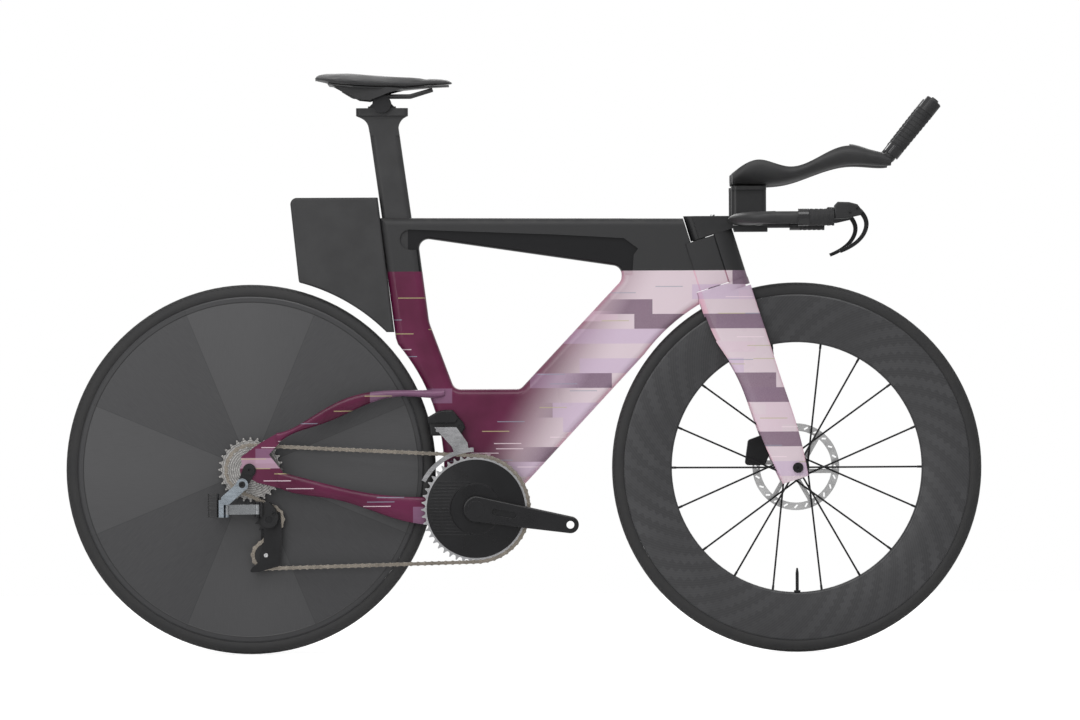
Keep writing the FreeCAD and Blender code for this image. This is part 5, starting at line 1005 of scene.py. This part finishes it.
def makeChain():
    guide, tension = boxMiddle("guide_pulley"), boxMiddle("tension_pulley")
    sprocket, ring = boxMiddle("cassette"), boxMiddle("chain_rings")
    pushLow, pushHigh = map(Vector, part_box("front_derailleur_cage"))
    pushMiddle = (pushLow.x + pushHigh.x) / 2
    pulley = pitchRadius(chainRuns["pulleyTeeth"])
    free = pitchRadius(chainRuns["sprocketTeeth"]) + chainRuns["clear"]
    nearPulleys = guide.x + chainRuns["pulleyReach"]
    guideEntry = guide.z + pulley * chainRuns["guideEntry"]
    stretchEnd = tension.x + chainRuns["stretch"]

    def runAt(spot):
        if tension.x < spot.x < stretchEnd and spot.z < tension.z:
            return "chainReturn"
        if spot.z < guideEntry and spot.x < nearPulleys:
            return "chainCage"
        away = math.hypot(spot.x - sprocket.x, spot.z - sprocket.z)
        if spot.z < sprocket.z and away > free and spot.x < nearPulleys:
            return "chainToGuide"
        if spot.z > sprocket.z and pushLow.x - chainRuns["pushReach"] < spot.x < ring.x:
            return "chainPushRear" if spot.x < pushMiddle else "chainPushFront"
        return "chainFixed"

    source = nodes["chain"].data
    runs = {}
    for group in linkGroups(source):
        centre = sum((source.vertices[index].co for index in group), Vector()) / len(group)
        runs.setdefault(runAt(centre), set()).update(group)
    riders = {"chainFixed": "frame", "chainCage": "derailleur_cage"}
    for name, kept in sorted(runs.items()):
        work = bmesh.new()
        work.from_mesh(source)
        spare = [vertex for vertex in work.verts if vertex.index not in kept]
        bmesh.ops.delete(work, geom=spare, context="VERTS")
        mesh = bpy.data.meshes.new(name)
        work.to_mesh(mesh)
        work.free()
        piece = loosePiece(name, "chainPlate", mesh)
        if name in riders:
            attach(piece, riders[name])
        else:
            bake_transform(piece)
        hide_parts("chain")
        print("chain run", name, len(kept), "points")


makeChain()

# Small screws, each set down on the piece that carries it by a ray from its start
screws = (
    dict(body="derailleur_cage", node="derailleur_cage", finish="bearingSteel",
         start=(-0.4725, -0.12, 0.1823), heading=(0, 1, 0), radius=0.0042),
    dict(body="derailleur_lower_knuckle", node="derailleur_lower_knuckle",
         start=(-0.4570, -0.12, 0.2600), heading=(0, 1, 0), radius=0.0036),
    dict(body="frame", node="front_derailleur_body",
         start=(-0.1170, -0.12, 0.4180), heading=(0, 1, 0), radius=0.0026),
    dict(body="frame", node="derailleur_knuckle",
         start=(-0.5130, -0.16, 0.3130), heading=(0, 1, 0), radius=0.0060),
    dict(body="steering", node="brake_lever_bodies",
         start=(0.5900, -0.30, 0.8010), heading=(0, 1, 0), radius=0.0024),
    dict(body="steering", node="brake_lever_bodies",
         start=(0.5900, 0.30, 0.8010), heading=(0, -1, 0), radius=0.0024),
    dict(body="steering", node="front_caliper",
         start=(0.4180, 0.16, 0.3850), heading=(0, -1, 0), radius=0.0034),
    dict(body="frame", node="rear_caliper",
         start=(-0.4350, 0.16, 0.3550), heading=(0, -1, 0), radius=0.0034),
    dict(body="frame", node="top_tube_covers", finish="bearingSteel",
         start=(-0.1900, 0.0, 0.95), heading=(0, 0, -1), radius=0.0030),
    dict(body="steering", node="stem", finish="bearingSteel",
         start=(0.3480, 0.0, 0.95), heading=(0, 0, -1), radius=0.0040),
)
screwForm = {
    "usualFinish": "blackAnodised",
    "round": 24,
    "profile": ((1.0, -0.25), (1.0, 0.55), (0.86, 0.75), (0.56, 0.75), (0.50, 0.15)),
    "socketFrom": 3,
    "socketSides": 6,
}


def addScrew(work, spot, normal, radius):
    turn = Vector((0, 0, 1)).rotation_difference(normal).to_matrix()
    count = screwForm["round"]
    half = math.pi / screwForm["socketSides"]
    rows = []
    for step, (share, rise) in enumerate(screwForm["profile"]):
        row = []
        for index in range(count):
            angle = math.tau * index / count
            reach = radius * share
            if step >= screwForm["socketFrom"]:
                reach *= math.cos(half) / math.cos(angle % (2 * half) - half)
            corner = Vector((reach * math.cos(angle), reach * math.sin(angle), radius * rise))
            row.append(work.verts.new(spot + turn @ corner))
        rows.append(row)
    for low, high in zip(rows, rows[1:]):
        for index in range(count):
            after = (index + 1) % count
            work.faces.new((low[index], low[after], high[after], high[index]))
    work.faces.new(rows[0])
    work.faces.new(rows[-1])


def makeScrews():
    groups = {}
    for screw in screws:
        start, heading = Vector(screw["start"]), Vector(screw["heading"])
        hit, spot, normal, face = nodes[screw["node"]].ray_cast(start, heading)
        print("screw on", screw["node"], hit, [round(value, 4) for value in spot])
        if hit:
            finish = screw.get("finish", screwForm["usualFinish"])
            groups.setdefault((screw["body"], finish), []).append((spot, normal, screw["radius"]))
    for (body, finish), places in groups.items():
        work = bmesh.new()
        for place in places:
            addScrew(work, *place)
        name = "screws_" + body + "_" + finish
        piece = newPiece(name, body, finish, meshFrom(name, work, False))


makeScrews()
print("screws set")

# Studio: pale floor, white surround for the camera, soft lamps
studio = {
    "floorColour": (0.90, 0.90, 0.90),
    "floorRough": (0.65, 0.75),
    "floorCloud": 3.0,
    "floorGlow": 0.55,
    "floorReach": 3.0,
    "floorCells": 8,
    "floorHeight": -0.0005,
    "fill": 0.40,
    "shine": 0.5,  # how much of the white surround gloss picks up
    "lamps": (
        dict(name="topBox", place=(0.1, -1.6, 3.0), aim=(0.0, 0.0, 0.5), size=(3.2, 1.6), power=50),
        dict(name="frontBox", place=(-1.6, -3.2, 1.5), aim=(0.0, 0.0, 0.5), size=(2.0, 2.0), power=38),
        dict(name="rearBox", place=(0.4, 3.0, 2.2), aim=(0.0, 0.0, 0.5), size=(3.0, 1.5), power=36),
    ),
}


def makeStudio():
    scene = bpy.context.scene
    scene.view_settings.view_transform = "Standard"
    world = bpy.data.worlds.new("studioWorld")
    world.use_nodes = True
    scene.world = world
    sheet = NodeSheet(world.node_tree)
    paths = sheet.add("LightPath").outputs
    seen = sheet.calc("ADD", paths["Is Camera Ray"], paths["Is Transmission Ray"])
    shine = sheet.calc("MULTIPLY", paths["Is Glossy Ray"], studio["shine"])
    seen = sheet.calc("ADD", seen, shine, clamp=True)
    background = world.node_tree.nodes["Background"]
    sheet.put(background.inputs["Color"], (1.0, 1.0, 1.0))
    sheet.put(background.inputs["Strength"], sheet.blend(seen, studio["fill"], 1.0))
    material, sheet, shader = newFinish("floorPale")
    cloud = sheet.noise(sheet.place(), studio["floorCloud"], groupLook["cloudDetail"])
    setShader(sheet, shader, studio, colour=studio["floorColour"],
              roughness=sheet.spread(cloud, *wideBand, *studio["floorRough"]))
    seen = sheet.add("LightPath").outputs["Is Camera Ray"]
    sheet.put(shader.inputs["Emission Color"], sheet.mix(seen, (0.0, 0.0, 0.0), (1.0, 1.0, 1.0)))
    sheet.put(shader.inputs["Emission Strength"], studio["floorGlow"])
    work = bmesh.new()
    cells = studio["floorCells"]
    bmesh.ops.create_grid(work, x_segments=cells, y_segments=cells, size=studio["floorReach"])
    floor = bpy.data.objects.new("floor", meshFrom("floor", work, False))
    floor.data.materials.append(material)
    floor.location.z = studio["floorHeight"]
    scene.collection.objects.link(floor)
    for lamp in studio["lamps"]:
        light = bpy.data.lights.new(lamp["name"], "AREA")
        light.shape = "RECTANGLE"
        light.size, light.size_y = lamp["size"]
        light.energy = lamp["power"]
        holder = bpy.data.objects.new(lamp["name"], light)
        holder.location = lamp["place"]
        ray = Vector(lamp["aim"]) - Vector(lamp["place"])
        holder.rotation_euler = ray.to_track_quat("-Z", "Y").to_euler()
        scene.collection.objects.link(holder)


# Camera: level, square to the bike's side, far back
cameraLook = {
    "aim": (0.0303, 0.0, 0.5375),
    "away": 12.0,
    "fieldWidth": 1.982,
    "roll": 0.25,
    "sensor": 36.0,
    "farEnd": 100.0,
}


def makeCamera():
    data = bpy.data.cameras.new("sideCamera")
    data.sensor_width = cameraLook["sensor"]
    data.lens = data.sensor_width * cameraLook["away"] / cameraLook["fieldWidth"]
    data.clip_end = cameraLook["farEnd"]
    camera = bpy.data.objects.new("sideCamera", data)
    aim = Vector(cameraLook["aim"])
    camera.location = aim - Vector((0, cameraLook["away"], 0))
    level = Matrix.Rotation(math.radians(90), 4, "X")
    tilt = Matrix.Rotation(math.radians(-cameraLook["roll"]), 4, "Z")
    camera.rotation_euler = (level @ tilt).to_euler()
    bpy.context.scene.collection.objects.link(camera)
    bpy.context.scene.camera = camera


makeStudio()
makeCamera()
print("studio and camera set")
